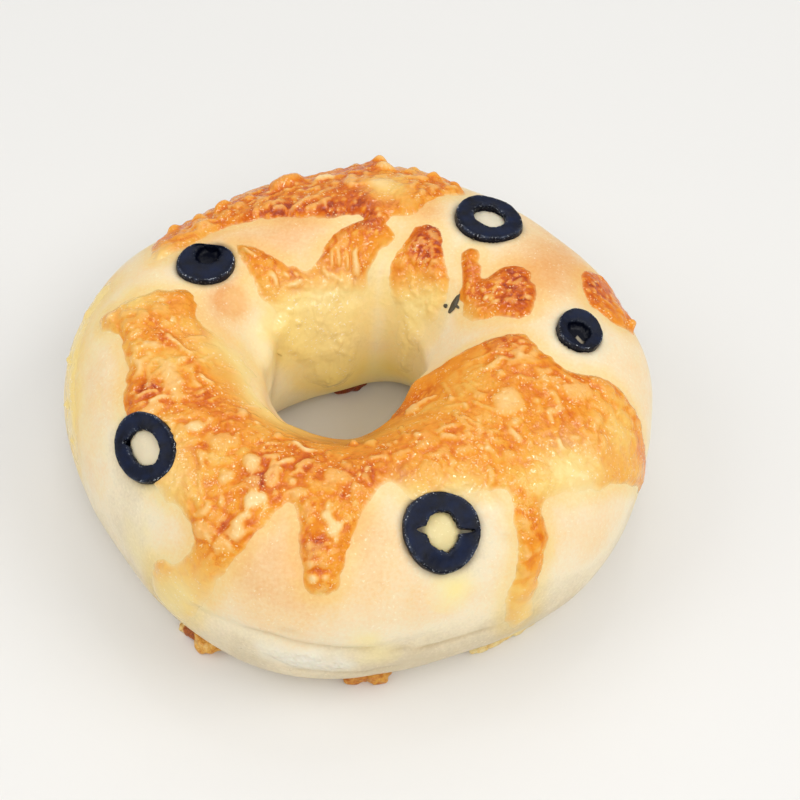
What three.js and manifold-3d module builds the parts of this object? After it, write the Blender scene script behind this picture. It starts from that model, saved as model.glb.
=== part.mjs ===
// Olive bagel: a baked ring of bread, grated cheese melted over its top and running down its flanks,
// and five slices of black olive pressed into the dough before baking.
// Millimetres, +Z up. The origin is under the middle of the bagel, where it rests, and -Y is the near side.
//
// A place on the bread is given by two angles in degrees. "around" runs counter-clockwise seen from above:
// 0 at the right (+X), 90 at the back, 270 at the front. "over" runs round the section of the ring:
// 0 on the outer flank, 90 on the crest, 180 on the wall of the hole, 270 underneath.

import * as THREE from 'three';
import { mergeVertices } from 'three/addons/utils/BufferGeometryUtils.js';
import Module from 'manifold-3d';

const wasm = await Module();
wasm.setup();

// Bread
const breadRadius = 55;
const holeRadius = 13.5;
const breadHeight = 38.2;
const waistHeight = 17.2;
const topRoundness = 2.2;
const baseRoundness = 3;
const baseFlattening = 1;
const breadSteps = { around: 68, over: 28 };

// How far the two outlines stray from round: cosine and sine parts of one, two, three... waves
const flankWaves = [[1.4, 0.1], [0.35, 0], [-0.2, 0.1], [1, -1.1], [-0.25, 0.5], [0, 0.35]];
const holeWaves = [[-1.2, 0.9], [0.6, 2], [-0.8, 1.3]];

// Ridges in the dough, and folds and hollows with a negative height: a line of places, height and width.
// The hollows lie under the cheese.
const ridges = [
  { line: [[150, 150], [170, 158], [190, 152], [208, 138], [222, 132]], height: 0.9, width: 2.4 },
  { line: [[42, 163], [25, 168], [8, 160], [345, 150], [326, 144]], height: 0.8, width: 2.4 },
  { line: [[240, 2], [249, 6], [260, 6], [270, 0], [283, 0]], height: -0.7, width: 1.8 },
  { line: [[303, 68], [303, 58], [304, 48]], height: 0.8, width: 1.8 },
  { line: [[68, 55], [85, 52], [105, 56], [135, 58]], height: -1.5, width: 11 },
  { line: [[228, 135], [270, 135], [315, 138]], height: -1.3, width: 7 },
  { line: [[162, 40], [178, 25], [190, 5]], height: -1, width: 9 },
  { line: [[14, 58], [14, 34]], height: -1.1, width: 6 },
];

// Olive slices: where each one lies, its size along "around" and "over", and its pit hole.
// Notches in the hole and a bite out of the skin are [angle, depth], the angle 0 along +around, 90 along
// +over, a notch's depth in mm and a bite's a share of the radius. A cup is the closed end of an olive.
const sliceThickness = 2.6;
const sliceRise = 1.3;
const sliceBend = 0.7;
const slices = [
  { name: 'olive_front', at: [290, 57], size: [13.4, 14], hole: [5.8, 6.8], notches: [[0, 2.4], [170, 1.2]] },
  { name: 'olive_left', at: [213.5, 57], size: [13.2, 12.4], hole: [7, 6], notches: [[215, 1.2]] },
  { name: 'olive_upper_left', at: [146.8, 93], size: [11.4, 10.2], hole: [5, 4.4], cup: true, bite: [213, 0.2] },
  { name: 'olive_upper_right', at: [48.3, 80], size: [13.2, 12.4], hole: [6.6, 6] },
  { name: 'olive_right', at: [1.6, 74], size: [9.4, 8.4], hole: [4.6, 4], cup: true, notches: [[190, 0.8]] },
];

// Cheese: the outline of each melted patch in [around, over], its thickness, and knobs that stand out of it
const clearance = 0.3;
const cheeseEdge = 0.35;
const cheeseSteps = { around: 4, over: 8 };
const cheeseCell = 2.8;
const cheesePatches = [
  {
    name: 'cheese_front',
    thickness: 1.2,
    outline: [
      [160, 99], [163, 84], [168, 66], [172, 54], [176, 58], [181, 71], [190, 71], [201, 59], [214, 50],
      [226, 46], [231, 49], [236, 41], [235, 29], [229, 17], [227, 0], [227, -14], [232, -20], [237, -12],
      [242, 8], [246, 38], [250, 62], [254, 78], [257.5, 70], [259, 52], [262.5, 35], [266, 36], [269.5, 56],
      [273, 75], [280, 87], [285, 76], [297, 70], [307, 63], [305, 46], [301.5, 24], [301, 2], [304, -12],
      [306.5, 4], [308, 28], [314, 49], [321, 41], [331, 26], [338, 3], [341, -5], [345, 12], [349, 42],
      [350.5, 64], [348.5, 75], [353, 87], [361, 96], [362, 112], [357, 131], [349, 148], [332, 157],
      [310, 156], [290, 152], [270, 155], [250, 154], [232, 151], [217, 137], [205, 139], [190, 150],
      [178, 142], [175, 127], [172, 113],
    ],
    knobs: [],
  },
  {
    name: 'cheese_back',
    thickness: 1.2,
    outline: [
      [61, 57], [59.5, 66], [65, 82], [68, 97], [76, 103], [72, 112], [77, 124], [80, 136], [80, 160], [82, 184],
      [92, 199], [110, 203], [126, 196], [142, 180], [152, 162], [153, 146], [144, 137], [144, 128], [140, 108],
      [134, 91], [128.5, 99], [122, 114], [115, 121], [107, 115], [97, 106], [86, 101.5], [98, 98], [110, 92],
      [124, 83], [135, 78], [148, 78], [153, 72], [148, 57], [140, 42], [132, 40], [125, 44], [119, 30],
      [114, 22], [109, 34], [100, 43], [90, 38], [84, 24], [79, 22], [74, 38], [67, 48],
    ],
    knobs: [[84, 56, 2], [105, 60, 1], [124, 64, 0.8], [69, 58, 0.6]],
  },
  {
    name: 'cheese_hole',
    thickness: 1.1,
    outline: [
      [59, 100], [53, 105], [50, 115], [42, 120], [37.5, 129], [37, 145], [36, 160], [40, 179], [50, 193],
      [60, 192], [65, 176], [64, 153], [69, 141], [74, 130], [70, 114], [66, 104],
    ],
    knobs: [],
  },
  {
    name: 'cheese_right',
    thickness: 1.2,
    outline: [
      [6, 100], [11, 110], [15, 120], [17, 130], [26, 132], [32, 128], [39, 119], [46, 108], [43, 101.5],
      [37, 103], [32, 106], [31, 95], [26, 89], [17, 90], [10, 94],
    ],
    knobs: [],
  },
  {
    name: 'cheese_right_flank',
    thickness: 1.1,
    outline: [
      [12, 65], [18, 66], [22, 56], [21, 46], [17, 37], [12, 31], [8, 35], [7.5, 43], [9.5, 54],
    ],
    knobs: [[12, 37, 0.8]],
  },
  {
    name: 'cheese_left_flank',
    thickness: 0.6,
    outline: [
      [160, 51], [168, 48], [179, 39], [189, 29], [194, 14], [193, -8], [187, -12], [181, 2], [174, 12],
      [164, 24], [156, 38],
    ],
    knobs: [],
  },
];

// Crumbs of browned cheese baked onto the foot of the ring, where it rests
const crumbs = [
  { around: 235.5, radius: 49.8, size: [8.6, 5.6, 3.6] },
  { around: 272.6, radius: 49.4, size: [9.6, 5, 3.2] },
  { around: 94, radius: 18.6, size: [7.4, 4.6, 3.2] },
  { around: 300, radius: 49.2, size: [8, 4, 2.6] },
  { around: 309, radius: 49.4, size: [6, 4, 2.4] },
];

// Colours
const breadColour = 0xefd9ac;
const cheeseColour = 0xe8963f;
const paleCheeseColour = 0xf0dc96;
const oliveColour = 0x141c2b;

const radians = THREE.MathUtils.degToRad;
const smooth = THREE.MathUtils.smoothstep;

function waves(angle, parts) {
  let sum = 0;
  parts.forEach(([cosine, sine], k) => {
    sum += cosine * Math.cos((k + 1) * angle) + sine * Math.sin((k + 1) * angle);
  });
  return sum;
}

function signedPower(value, power) {
  return Math.sign(value) * Math.abs(value) ** power;
}

// The plain ring: a section rounded like a superellipse, cut flat where it rests
function plainPoint(around, over) {
  const turn = radians(around);
  const roll = radians(over);
  const outer = breadRadius + waves(turn, flankWaves);
  const inner = holeRadius + waves(turn, holeWaves);
  const upper = Math.sin(roll) >= 0;
  const power = 2 / (upper ? topRoundness : baseRoundness);
  const reach = upper ? breadHeight - waistHeight : waistHeight + baseFlattening;
  const radius = (outer + inner) / 2 + ((outer - inner) / 2) * signedPower(Math.cos(roll), power);
  const height = Math.max(0, waistHeight + reach * signedPower(Math.sin(roll), power));
  return new THREE.Vector3(radius * Math.cos(turn), radius * Math.sin(turn), height);
}

// Directions on the plain ring: along "around", along "over" and straight out of it
function directions(around, over) {
  const step = 0.5;
  const along = plainPoint(around + step, over).sub(plainPoint(around - step, over)).normalize();
  const across = plainPoint(around, over + step).sub(plainPoint(around, over - step));
  across.addScaledVector(along, -across.dot(along)).normalize();
  return { along, across, out: new THREE.Vector3().crossVectors(along, across) };
}

// Distance in mm from a point to a line of places, near enough for a ridge
function distanceToLine(point, line) {
  let nearest = Infinity;
  const closest = new THREE.Vector3();
  for (let k = 1; k < line.length; k += 1) {
    const [fromAround, fromOver] = line[k - 1];
    const [toAround, toOver] = line[k];
    const sweep = ((toAround - fromAround + 540) % 360) - 180;
    const pieces = Math.max(1, Math.ceil(Math.abs(sweep) / 6));
    let last = plainPoint(fromAround, fromOver);
    for (let n = 1; n <= pieces; n += 1) {
      const share = n / pieces;
      const next = plainPoint(fromAround + sweep * share, fromOver + (toOver - fromOver) * share);
      new THREE.Line3(last, next).closestPointToPoint(point, true, closest);
      nearest = Math.min(nearest, closest.distanceTo(point));
      last = next;
    }
  }
  return nearest;
}

// Height of the dough above the plain ring: soft lumps, ridges and folds, none where it rests
function relief(point, around, over) {
  const turn = radians(around);
  const roll = radians(over);
  let height = 0.3 * Math.sin(3 * turn + 1) * Math.sin(2 * roll) + 0.2 * Math.sin(7 * turn) * Math.cos(roll);
  for (const ridge of ridges) {
    const distance = distanceToLine(point, ridge.line);
    height += ridge.height * Math.exp(-((distance / ridge.width) ** 2));
  }
  return height * smooth(point.z, 1, 6);
}

function breadPoint(around, over, lift = 0) {
  const point = plainPoint(around, over);
  const { out } = directions(around, over);
  return point.addScaledVector(out, relief(point, around, over) + lift);
}

// Closed solids: merged vertices, with the normals and uv that would keep them apart taken off
function closed(geometry) {
  geometry.deleteAttribute('normal');
  geometry.deleteAttribute('uv');
  return mergeVertices(geometry, 1e-4);
}

function toSolid(geometry) {
  return new wasm.Manifold(new wasm.Mesh({
    numProp: 3,
    vertProperties: new Float32Array(geometry.getAttribute('position').array),
    triVerts: new Uint32Array(geometry.getIndex().array),
  }));
}

function toGeometry(solid) {
  const mesh = solid.getMesh();
  const geometry = new THREE.BufferGeometry();
  geometry.setAttribute('position', new THREE.BufferAttribute(mesh.vertProperties, 3));
  geometry.setIndex(new THREE.BufferAttribute(mesh.triVerts, 1));
  return geometry;
}

// Bread: a torus whose every vertex is moved onto the section
function makeRing() {
  const torus = new THREE.TorusGeometry(1, 0.5, breadSteps.over, breadSteps.around);
  const position = torus.getAttribute('position');
  const uv = torus.getAttribute('uv');
  for (let k = 0; k < position.count; k += 1) {
    const around = (uv.getX(k) * 360) % 360;
    const over = (uv.getY(k) * 360) % 360;
    const point = breadPoint(around, over);
    position.setXYZ(k, point.x, point.y, point.z);
  }
  return closed(torus);
}

// Olive slice: a lathe ring, or a cup for the end of an olive, bent over the bread.
// A profile point is [place, height]: place is -1 on the axis, 0 at the pit hole and 1 at the skin,
// height is -1 underneath and 1 on top.
const ringProfile = [[0.1, -1], [0.86, -1], [1, -0.5], [1.03, 0.3], [0.88, 1], [0.14, 1], [0, 0.6]];
const cupProfile = [
  [-1, -1], [0.86, -1], [1, -0.5], [1.03, 0.3], [0.86, 1], [0.2, 1], [0, 0.5], [-0.3, -0.4], [-1, -0.5],
];
const ringBed = [[0, -1], [1, -1], [1, 1], [0, 1]];
const cupBed = [[-1, -1], [1, -1], [1, 1], [-1, 1]];
const sliceSegments = 22;
const notchWidth = 15;
const biteWidth = 26;

function bump(angle, centre, width) {
  const apart = ((angle - centre + 540) % 360) - 180;
  return Math.exp(-((apart / width) ** 2));
}

function makeSlice(slice, grow = 0) {
  const plain = grow > 0;
  let profile = plain ? ringBed : ringProfile;
  if (slice.cup) profile = plain ? cupBed : cupProfile;
  else profile = [...profile, profile[0]];
  const points = profile.map(([place, height]) => new THREE.Vector2(place + 2, height));
  const lathe = new THREE.LatheGeometry(points, sliceSegments);
  const position = lathe.getAttribute('position');
  const uv = lathe.getAttribute('uv');
  const centre = breadPoint(...slice.at);
  const { along, across, out } = directions(...slice.at);
  const acrossRadius = (breadHeight - waistHeight) * 0.95;
  for (let k = 0; k < position.count; k += 1) {
    const angle = (uv.getX(k) * 360) % 360;
    const turn = radians(angle);
    const place = Math.hypot(position.getX(k), position.getZ(k)) - 2;
    const height = position.getY(k);
    let skin = 1 + 0.02 * Math.sin(3 * turn + slice.at[0]);
    if (slice.bite) skin -= slice.bite[1] * bump(angle, slice.bite[0], biteWidth);
    let notch = 0;
    for (const [where, depth] of slice.notches ?? []) notch += depth * bump(angle, where, notchWidth);
    const spread = (size, factor, extra) => (size / 2) * factor + extra;
    const hole = [0, 1].map((axis) => spread(slice.hole[axis], 1, notch - grow));
    const edge = [0, 1].map((axis) => spread(slice.size[axis], skin, grow));
    const reach = [0, 1].map((axis) => (
      place < 0 ? hole[axis] * (1 + place) : hole[axis] + (edge[axis] - hole[axis]) * place
    ));
    const x = reach[0] * Math.cos(turn);
    const y = reach[1] * Math.sin(turn);
    const drop = sliceBend * (y * y / (2 * acrossRadius) + x * x / (2 * breadRadius));
    const lift = sliceRise - sliceThickness / 2 + height * (sliceThickness / 2 + grow) - drop;
    const point = centre.clone().addScaledVector(along, x).addScaledVector(across, y);
    point.addScaledVector(out, lift);
    position.setXYZ(k, point.x, point.y, point.z);
  }
  return closed(lathe);
}

// Distance in mm from a point to the nearest slice's skin, negative inside it
function distanceToSlices(point) {
  return Math.min(...slices.map((slice) => {
    const { along, across } = directions(...slice.at);
    const from = point.clone().sub(breadPoint(...slice.at));
    const [width, length] = slice.size;
    const share = Math.hypot(from.dot(along) / (width / 2), from.dot(across) / (length / 2));
    return from.length() > width ? Infinity : (share - 1) * Math.min(width, length) / 2;
  }));
}

// Cheese: the outline is a smooth closed curve through its places
function smoothOutline(places) {
  const curve = new THREE.CatmullRomCurve3(places.map(([x, y]) => new THREE.Vector3(x, y, 0)), true);
  return curve.getPoints(places.length * 5).slice(0, -1);
}

function isInside(outline, x, y) {
  let inside = false;
  outline.forEach((a, k) => {
    const b = outline[(k + 1) % outline.length];
    if ((a.y > y) !== (b.y > y) && x < a.x + ((b.x - a.x) * (y - a.y)) / (b.y - a.y)) inside = !inside;
  });
  return inside;
}

// The outline's nearest place to [x, y] and how far inside it that is, both counted in cells of the grid
function nearestOnOutline(outline, x, y) {
  const [wide, tall] = [cheeseSteps.around, cheeseSteps.over];
  const here = new THREE.Vector3(x / wide, y / tall, 0);
  const scaled = outline.map((place) => new THREE.Vector3(place.x / wide, place.y / tall, 0));
  const closest = new THREE.Vector3();
  let nearest = { distance: Infinity };
  scaled.forEach((corner, k) => {
    new THREE.Line3(corner, scaled[(k + 1) % scaled.length]).closestPointToPoint(here, true, closest);
    const distance = closest.distanceTo(here);
    if (distance < nearest.distance) nearest = { distance, x: closest.x * wide, y: closest.y * tall };
  });
  return { ...nearest, depth: isInside(outline, x, y) ? nearest.distance : -nearest.distance };
}

// Cuts the flat grid of a patch along its outline and clear of the olives. A grid corner close to the
// outline moves onto it. Gives corners [x, y, depth in cells] and the triangles of what is left.
function trimGrid(grid, outline) {
  const position = grid.getAttribute('position');
  const index = grid.getIndex();
  const corners = [];
  for (let k = 0; k < position.count; k += 1) {
    const [x, y] = [position.getX(k), position.getY(k)];
    const nearest = nearestOnOutline(outline, x, y);
    const toSlice = (distanceToSlices(breadPoint(x, y)) - clearance) / cheeseCell - 0.1;
    if (nearest.distance < 0.35 && toSlice > 0.35) corners.push([nearest.x, nearest.y, 0]);
    else corners.push([x, y, Math.min(nearest.depth, toSlice)]);
  }
  const cuts = new Map();
  const cutBetween = (a, b) => {
    const key = a < b ? `${a} ${b}` : `${b} ${a}`;
    if (!cuts.has(key)) {
      const [from, to] = [corners[Math.min(a, b)], corners[Math.max(a, b)]];
      const share = from[2] / (from[2] - to[2]);
      cuts.set(key, corners.length);
      corners.push([from[0] + (to[0] - from[0]) * share, from[1] + (to[1] - from[1]) * share, 0]);
    }
    return cuts.get(key);
  };
  const triangles = [];
  for (let k = 0; k < index.count; k += 3) {
    const triangle = [index.getX(k), index.getX(k + 1), index.getX(k + 2)];
    const kept = [];
    triangle.forEach((corner, n) => {
      const next = triangle[(n + 1) % 3];
      const [here, there] = [corners[corner][2], corners[next][2]];
      if (here >= 0) kept.push(corner);
      if (here * there < 0) kept.push(cutBetween(corner, next));
    });
    const middle = [0, 1].map((axis) => triangle.reduce((sum, corner) => sum + corners[corner][axis] / 3, 0));
    const onRim = triangle.every((corner) => corners[corner][2] === 0);
    if (onRim && !isInside(outline, ...middle)) continue;
    for (let n = 2; n < kept.length; n += 1) triangles.push([kept[0], kept[n - 1], kept[n]]);
  }
  return { corners, triangles };
}

// A patch is laid over the bread: its underside keeps clear of the dough, its top swells in from the rim
function makePatch(patch) {
  const outline = smoothOutline(patch.outline);
  const box = new THREE.Box3().setFromPoints(outline);
  const size = box.getSize(new THREE.Vector3());
  const middle = box.getCenter(new THREE.Vector3());
  const columns = Math.ceil(size.x / cheeseSteps.around) + 2;
  const rows = Math.ceil(size.y / cheeseSteps.over) + 2;
  const grid = new THREE.PlaneGeometry(columns * cheeseSteps.around, rows * cheeseSteps.over, columns, rows);
  grid.translate(middle.x, middle.y, 0);
  const { corners, triangles } = trimGrid(grid, outline);

  const knobs = patch.knobs.map(([around, over, height]) => ({ centre: plainPoint(around, over), height }));
  const thicknessAt = ([x, y, depth]) => {
    const point = plainPoint(x, y);
    let body = patch.thickness + 0.3 * Math.sin(point.x / 2.1) * Math.sin(point.y / 1.9 + point.z / 3);
    for (const knob of knobs) body += knob.height * Math.exp(-((point.distanceTo(knob.centre) / 3.2) ** 2));
    return cheeseEdge + (body - cheeseEdge) * smooth(depth, 0, 0.9);
  };

  const order = new Map();
  const place = (corner) => {
    if (!order.has(corner)) order.set(corner, order.size);
    return order.get(corner);
  };
  const top = triangles.map((triangle) => triangle.map(place));
  const count = order.size;
  const edges = new Map();
  top.forEach(([a, b, c]) => {
    [[a, b], [b, c], [c, a]].forEach(([from, to]) => {
      if (!edges.delete(`${to} ${from}`)) edges.set(`${from} ${to}`, [from, to]);
    });
  });
  const faces = [...top, ...top.map(([a, b, c]) => [c + count, b + count, a + count])];
  for (const [from, to] of edges.values()) {
    faces.push([to, from, from + count], [to, from + count, to + count]);
  }
  const points = [];
  for (const layer of ['top', 'underside']) {
    for (const corner of order.keys()) {
      const [x, y] = corners[corner];
      const lift = clearance + (layer === 'top' ? thicknessAt(corners[corner]) : 0);
      points.push(breadPoint(x, y, lift));
    }
  }
  const geometry = new THREE.BufferGeometry().setFromPoints(points);
  geometry.setIndex(faces.flat());
  return geometry;
}

// Crumbs: rough little lumps with a flat foot, joined to the bread
function makeCrumb({ around, radius, size }) {
  const lump = new THREE.IcosahedronGeometry(1, 1);
  const position = lump.getAttribute('position');
  const turn = radians(around);
  for (let k = 0; k < position.count; k += 1) {
    const [x, y, z] = [position.getX(k), position.getY(k), position.getZ(k)];
    const rough = 1 + 0.14 * Math.sin(5 * x + around) * Math.cos(4 * y + 3 * z);
    const outward = (x * size[1] * rough) / 2;
    const along = (y * size[0] * rough) / 2;
    const height = Math.max(0, ((z * rough + 0.9) * size[2]) / 1.9);
    position.setXYZ(
      k,
      (radius + outward) * Math.cos(turn) - along * Math.sin(turn),
      (radius + outward) * Math.sin(turn) + along * Math.cos(turn),
      height,
    );
  }
  return closed(lump);
}

function makeBread() {
  let solid = toSolid(makeRing());
  for (const crumb of crumbs) solid = solid.add(toSolid(makeCrumb(crumb)));
  for (const slice of slices) solid = solid.subtract(toSolid(makeSlice(slice, clearance)));
  return toGeometry(solid);
}

function addMesh(name, geometry, colour, roughness) {
  const mesh = new THREE.Mesh(geometry, new THREE.MeshStandardMaterial({ color: colour, roughness, metalness: 0 }));
  mesh.name = name;
  bagel.add(mesh);
}

const bagel = new THREE.Group();
addMesh('bread', makeBread(), breadColour, 0.75);
for (const patch of cheesePatches) {
  const colour = patch.name === 'cheese_left_flank' ? paleCheeseColour : cheeseColour;
  addMesh(patch.name, makePatch(patch), colour, 0.45);
}
for (const slice of slices) addMesh(slice.name, makeSlice(slice), oliveColour, 0.4);

const middle = new THREE.Box3().setFromObject(bagel).getCenter(new THREE.Vector3());
bagel.position.set(-middle.x, -middle.y, 0);
bagel.updateMatrixWorld(true);

export default bagel;
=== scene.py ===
import math

import bmesh
import bpy
import numpy as np
from mathutils import Matrix, Vector


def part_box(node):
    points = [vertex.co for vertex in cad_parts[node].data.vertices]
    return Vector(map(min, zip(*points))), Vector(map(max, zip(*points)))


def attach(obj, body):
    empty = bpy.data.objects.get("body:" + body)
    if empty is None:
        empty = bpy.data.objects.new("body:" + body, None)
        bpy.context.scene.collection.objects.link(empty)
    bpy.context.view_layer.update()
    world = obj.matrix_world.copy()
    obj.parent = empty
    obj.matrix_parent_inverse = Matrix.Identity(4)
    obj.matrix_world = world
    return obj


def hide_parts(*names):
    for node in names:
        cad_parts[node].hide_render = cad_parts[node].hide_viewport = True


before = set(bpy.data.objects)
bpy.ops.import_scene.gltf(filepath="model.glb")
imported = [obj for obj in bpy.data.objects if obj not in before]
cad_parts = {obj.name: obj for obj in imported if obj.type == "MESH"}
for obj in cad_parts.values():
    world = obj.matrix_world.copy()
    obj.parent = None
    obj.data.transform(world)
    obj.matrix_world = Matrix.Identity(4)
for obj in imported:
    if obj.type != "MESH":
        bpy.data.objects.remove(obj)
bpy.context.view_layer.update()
scene = bpy.context.scene
mm = 0.001

# Camera. The bagel is seen from the front and above, as by someone sitting at the table, through a
# long lens that leaves its ring nearly undistorted.
image_size = 800
sensor_size = 36
focal_pixels = 1987
camera_distance = 380
camera_elevation = math.radians(51.2)
aim = Vector((-0.95, -0.5, 18))
aim_pixel = (352.4, 403.3)
nearest_shown = 0.01

camera_data = bpy.data.cameras.new("camera")
camera_data.sensor_width = sensor_size
camera_data.lens = focal_pixels * sensor_size / image_size
camera_data.clip_start = nearest_shown
camera = bpy.data.objects.new("camera", camera_data)
scene.collection.objects.link(camera)
scene.camera = camera
away = Vector((0, -math.cos(camera_elevation), math.sin(camera_elevation)))
look = (-away).to_track_quat("-Z", "Y").to_matrix()
pan, tilt = [math.atan((pixel - image_size / 2) / focal_pixels) for pixel in aim_pixel]
look = look @ Matrix.Rotation(pan, 3, "Y") @ Matrix.Rotation(tilt, 3, "X")
camera.matrix_world = Matrix.Translation((aim + away * camera_distance) * mm) @ look.to_4x4()


# Bread. A ring of enriched dough, boiled or steamed and then baked: a thin satin crust, tan where the
# heat caught it and cream towards the foot, flat where it stood on the tray.

# A place on it is two angles in degrees: "around" counter-clockwise from the right, 90 at the back, and
# "over" round the section of the ring, 0 on the outer flank, 90 on the crest, 180 on the hole's wall and
# 270 underneath.
bread_radius = 55
hole_radius = 13.5
bread_height = 38.2
waist_height = 17.2
top_roundness = 2.2
base_roundness = 3
base_flattening = 1
flank_waves = [(1.4, 0.1), (0.35, 0), (-0.2, 0.1), (1, -1.1), (-0.25, 0.5), (0, 0.35)]
hole_waves = [(-1.2, 0.9), (0.6, 2), (-0.8, 1.3)]
broad_swell = 0.3
narrow_swell = 0.2
relief_from = (1, 6)

# Ridges of the dough, and hollows under the cheese: a line of places, height and width
ridges = [
    ([(150, 150), (170, 158), (190, 152), (208, 138), (222, 132)], 0.9, 2.4),
    ([(42, 163), (25, 168), (8, 160), (345, 150), (326, 144)], 0.8, 2.4),
    ([(240, 2), (249, 6), (260, 6), (270, 0), (283, 0)], -0.7, 1.8),
    ([(303, 68), (303, 58), (304, 48)], 0.8, 1.8),
    ([(68, 55), (85, 52), (105, 56), (135, 58)], -1.5, 11),
    ([(228, 135), (270, 135), (315, 138)], -1.3, 7),
    ([(162, 40), (178, 25), (190, 5)], -1, 9),
    ([(157, 146), (163, 158), (170, 174)], 0.7, 1.8),
    ([(14, 58), (14, 34)], -1.1, 6),
]

# Narrow folds that only the crust has: a line of places, height and width of each
fold_run_out = 5
crust_folds = [
    ([(246, 3), (250, 7), (255, 9), (259.5, 6.5), (267, 2), (275, -0.5), (283, -2)], -0.55, 0.6),
    ([(279, -4), (286, -3.5), (292, -3), (300, -3.5)], -0.4, 0.6),
    ([(256, -9), (264, -12), (272, -16), (281, -14)], -0.3, 0.5),
    ([(255, 14), (259, 15.5), (262, 14)], -0.3, 0.6),
    ([(149, 153), (154, 166), (160.5, 179), (166, 194)], -0.3, 0.9),
]

# Heights of the crust's own fine swells, how far apart they are, and their seeds
crust_swells = [(0.22, 13, 10), (0.1, 5, 11)]

# The mesh's steps round the ring and round its section, the section's drawn up towards the top
bread_turns = 480
bread_sides = 208
finer_on_top = 25


def srgb(red, green, blue):
    """A colour as seen on a screen, 0 to 255, as Blender's linear one."""
    return [*((np.array([red, green, blue]) / 255) ** 2.2), 1]


def smooth(value, low, high):
    """0 below low, 1 above high, and a smooth climb between."""
    share = np.clip((value - low) / (high - low), 0, 1)
    return share * share * (3 - 2 * share)


def waves(turn, parts):
    """Sum of waves round the ring: 1, 2, 3 and so on of them, each with its cosine and sine part."""
    return sum(c * np.cos(k * turn) + s * np.sin(k * turn) for k, (c, s) in enumerate(parts, 1))


def signed_power(value, power):
    """A power that keeps the sign of what it is taken of."""
    return np.sign(value) * np.abs(value) ** power


def plain_points(around, over):
    """The plain ring: a section rounded like a superellipse, cut flat where it rests."""
    turn, roll = np.radians(around), np.radians(over)
    outer = bread_radius + waves(turn, flank_waves)
    inner = hole_radius + waves(turn, hole_waves)
    upper = np.sin(roll) >= 0
    power = 2 / np.where(upper, top_roundness, base_roundness)
    reach = np.where(upper, bread_height - waist_height, waist_height + base_flattening)
    radius = (outer + inner) / 2 + (outer - inner) / 2 * signed_power(np.cos(roll), power)
    height = np.maximum(0, waist_height + reach * signed_power(np.sin(roll), power))
    return np.stack([radius * np.cos(turn), radius * np.sin(turn), height], -1)


def unit(vectors):
    return vectors / np.maximum(np.linalg.norm(vectors, axis=-1, keepdims=True), 1e-9)


def directions(around, over, step=0.5):
    """Along "around", along "over" and straight out of the plain ring."""
    along = unit(plain_points(around + step, over) - plain_points(around - step, over))
    across = plain_points(around, over + step) - plain_points(around, over - step)
    across = unit(across - (across * along).sum(-1, keepdims=True) * along)
    return along, across, np.cross(along, across)


def line_points(line, sweep_step=6):
    """A line of places as points on the plain ring, close enough together to follow it."""
    places = []
    for (here, roll), (there, next_roll) in zip(line, line[1:]):
        sweep = (there - here + 540) % 360 - 180
        share = np.linspace(0, 1, max(1, math.ceil(abs(sweep) / sweep_step)) + 1)
        places.append(plain_points(here + sweep * share, roll + (next_roll - roll) * share))
    return np.concatenate(places)


def ridge_height(points, line, height, width):
    """How high a ridge stands at each point: a soft hump across its line."""
    raised = np.zeros(len(points))
    chain = line_points(line)
    reach = 3 * width
    near = np.all((points > chain.min(0) - reach) & (points < chain.max(0) + reach), axis=1)
    close = points[near]
    nearest = np.full(len(close), np.inf)
    for a, b in zip(chain, chain[1:]):
        run = b - a
        share = np.clip((close - a) @ run / max(run @ run, 1e-12), 0, 1)
        nearest = np.minimum(nearest, np.linalg.norm(close - a - share[:, None] * run, axis=1))
    raised[near] = height * np.exp(-((nearest / width) ** 2))
    return raised


def relief(points, around, over):
    """How far the dough stands out of the plain ring: nothing at its foot, where it rests."""
    turn, roll = np.radians(around), np.radians(over)
    height = broad_swell * np.sin(3 * turn + 1) * np.sin(2 * roll)
    height = height + narrow_swell * np.sin(7 * turn) * np.cos(roll)
    height = height + sum(ridge_height(points, *ridge) for ridge in ridges)
    return height * smooth(points[:, 2], *relief_from)


def bread_points(around, over, lift=0):
    """Points on the bread in the ring's own millimetres; lift raises them along its normal."""
    points = plain_points(around, over)
    out = directions(around, over)[2]
    return points + out * (relief(points, around, over) + lift)[:, None]


def noise(points, size, seed):
    """Smooth swells about one size across, from -1 to 1, the same on every run."""
    count = 32
    lattice = np.random.default_rng(seed).uniform(-1, 1, (count, count, count))
    scaled = points / size
    low = np.floor(scaled).astype(int)
    part = scaled - low
    part = part * part * (3 - 2 * part)
    total = np.zeros(len(points))
    for corner in np.ndindex(2, 2, 2):
        weight = np.prod(np.where(corner, part, 1 - part), axis=1)
        total += weight * lattice[tuple(((low + corner) % count).T)]
    return total


def spots_field(points, spots):
    """Sum of soft round spots: around, over, radius and amount of each."""
    field = np.zeros(len(points))
    for around, over, radius, amount in spots:
        centre = plain_points(np.array([around]), np.array([over]))[0]
        apart = np.linalg.norm(points - centre, axis=1)
        field += amount * np.exp(-((apart / radius) ** 2))
    return field


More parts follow.
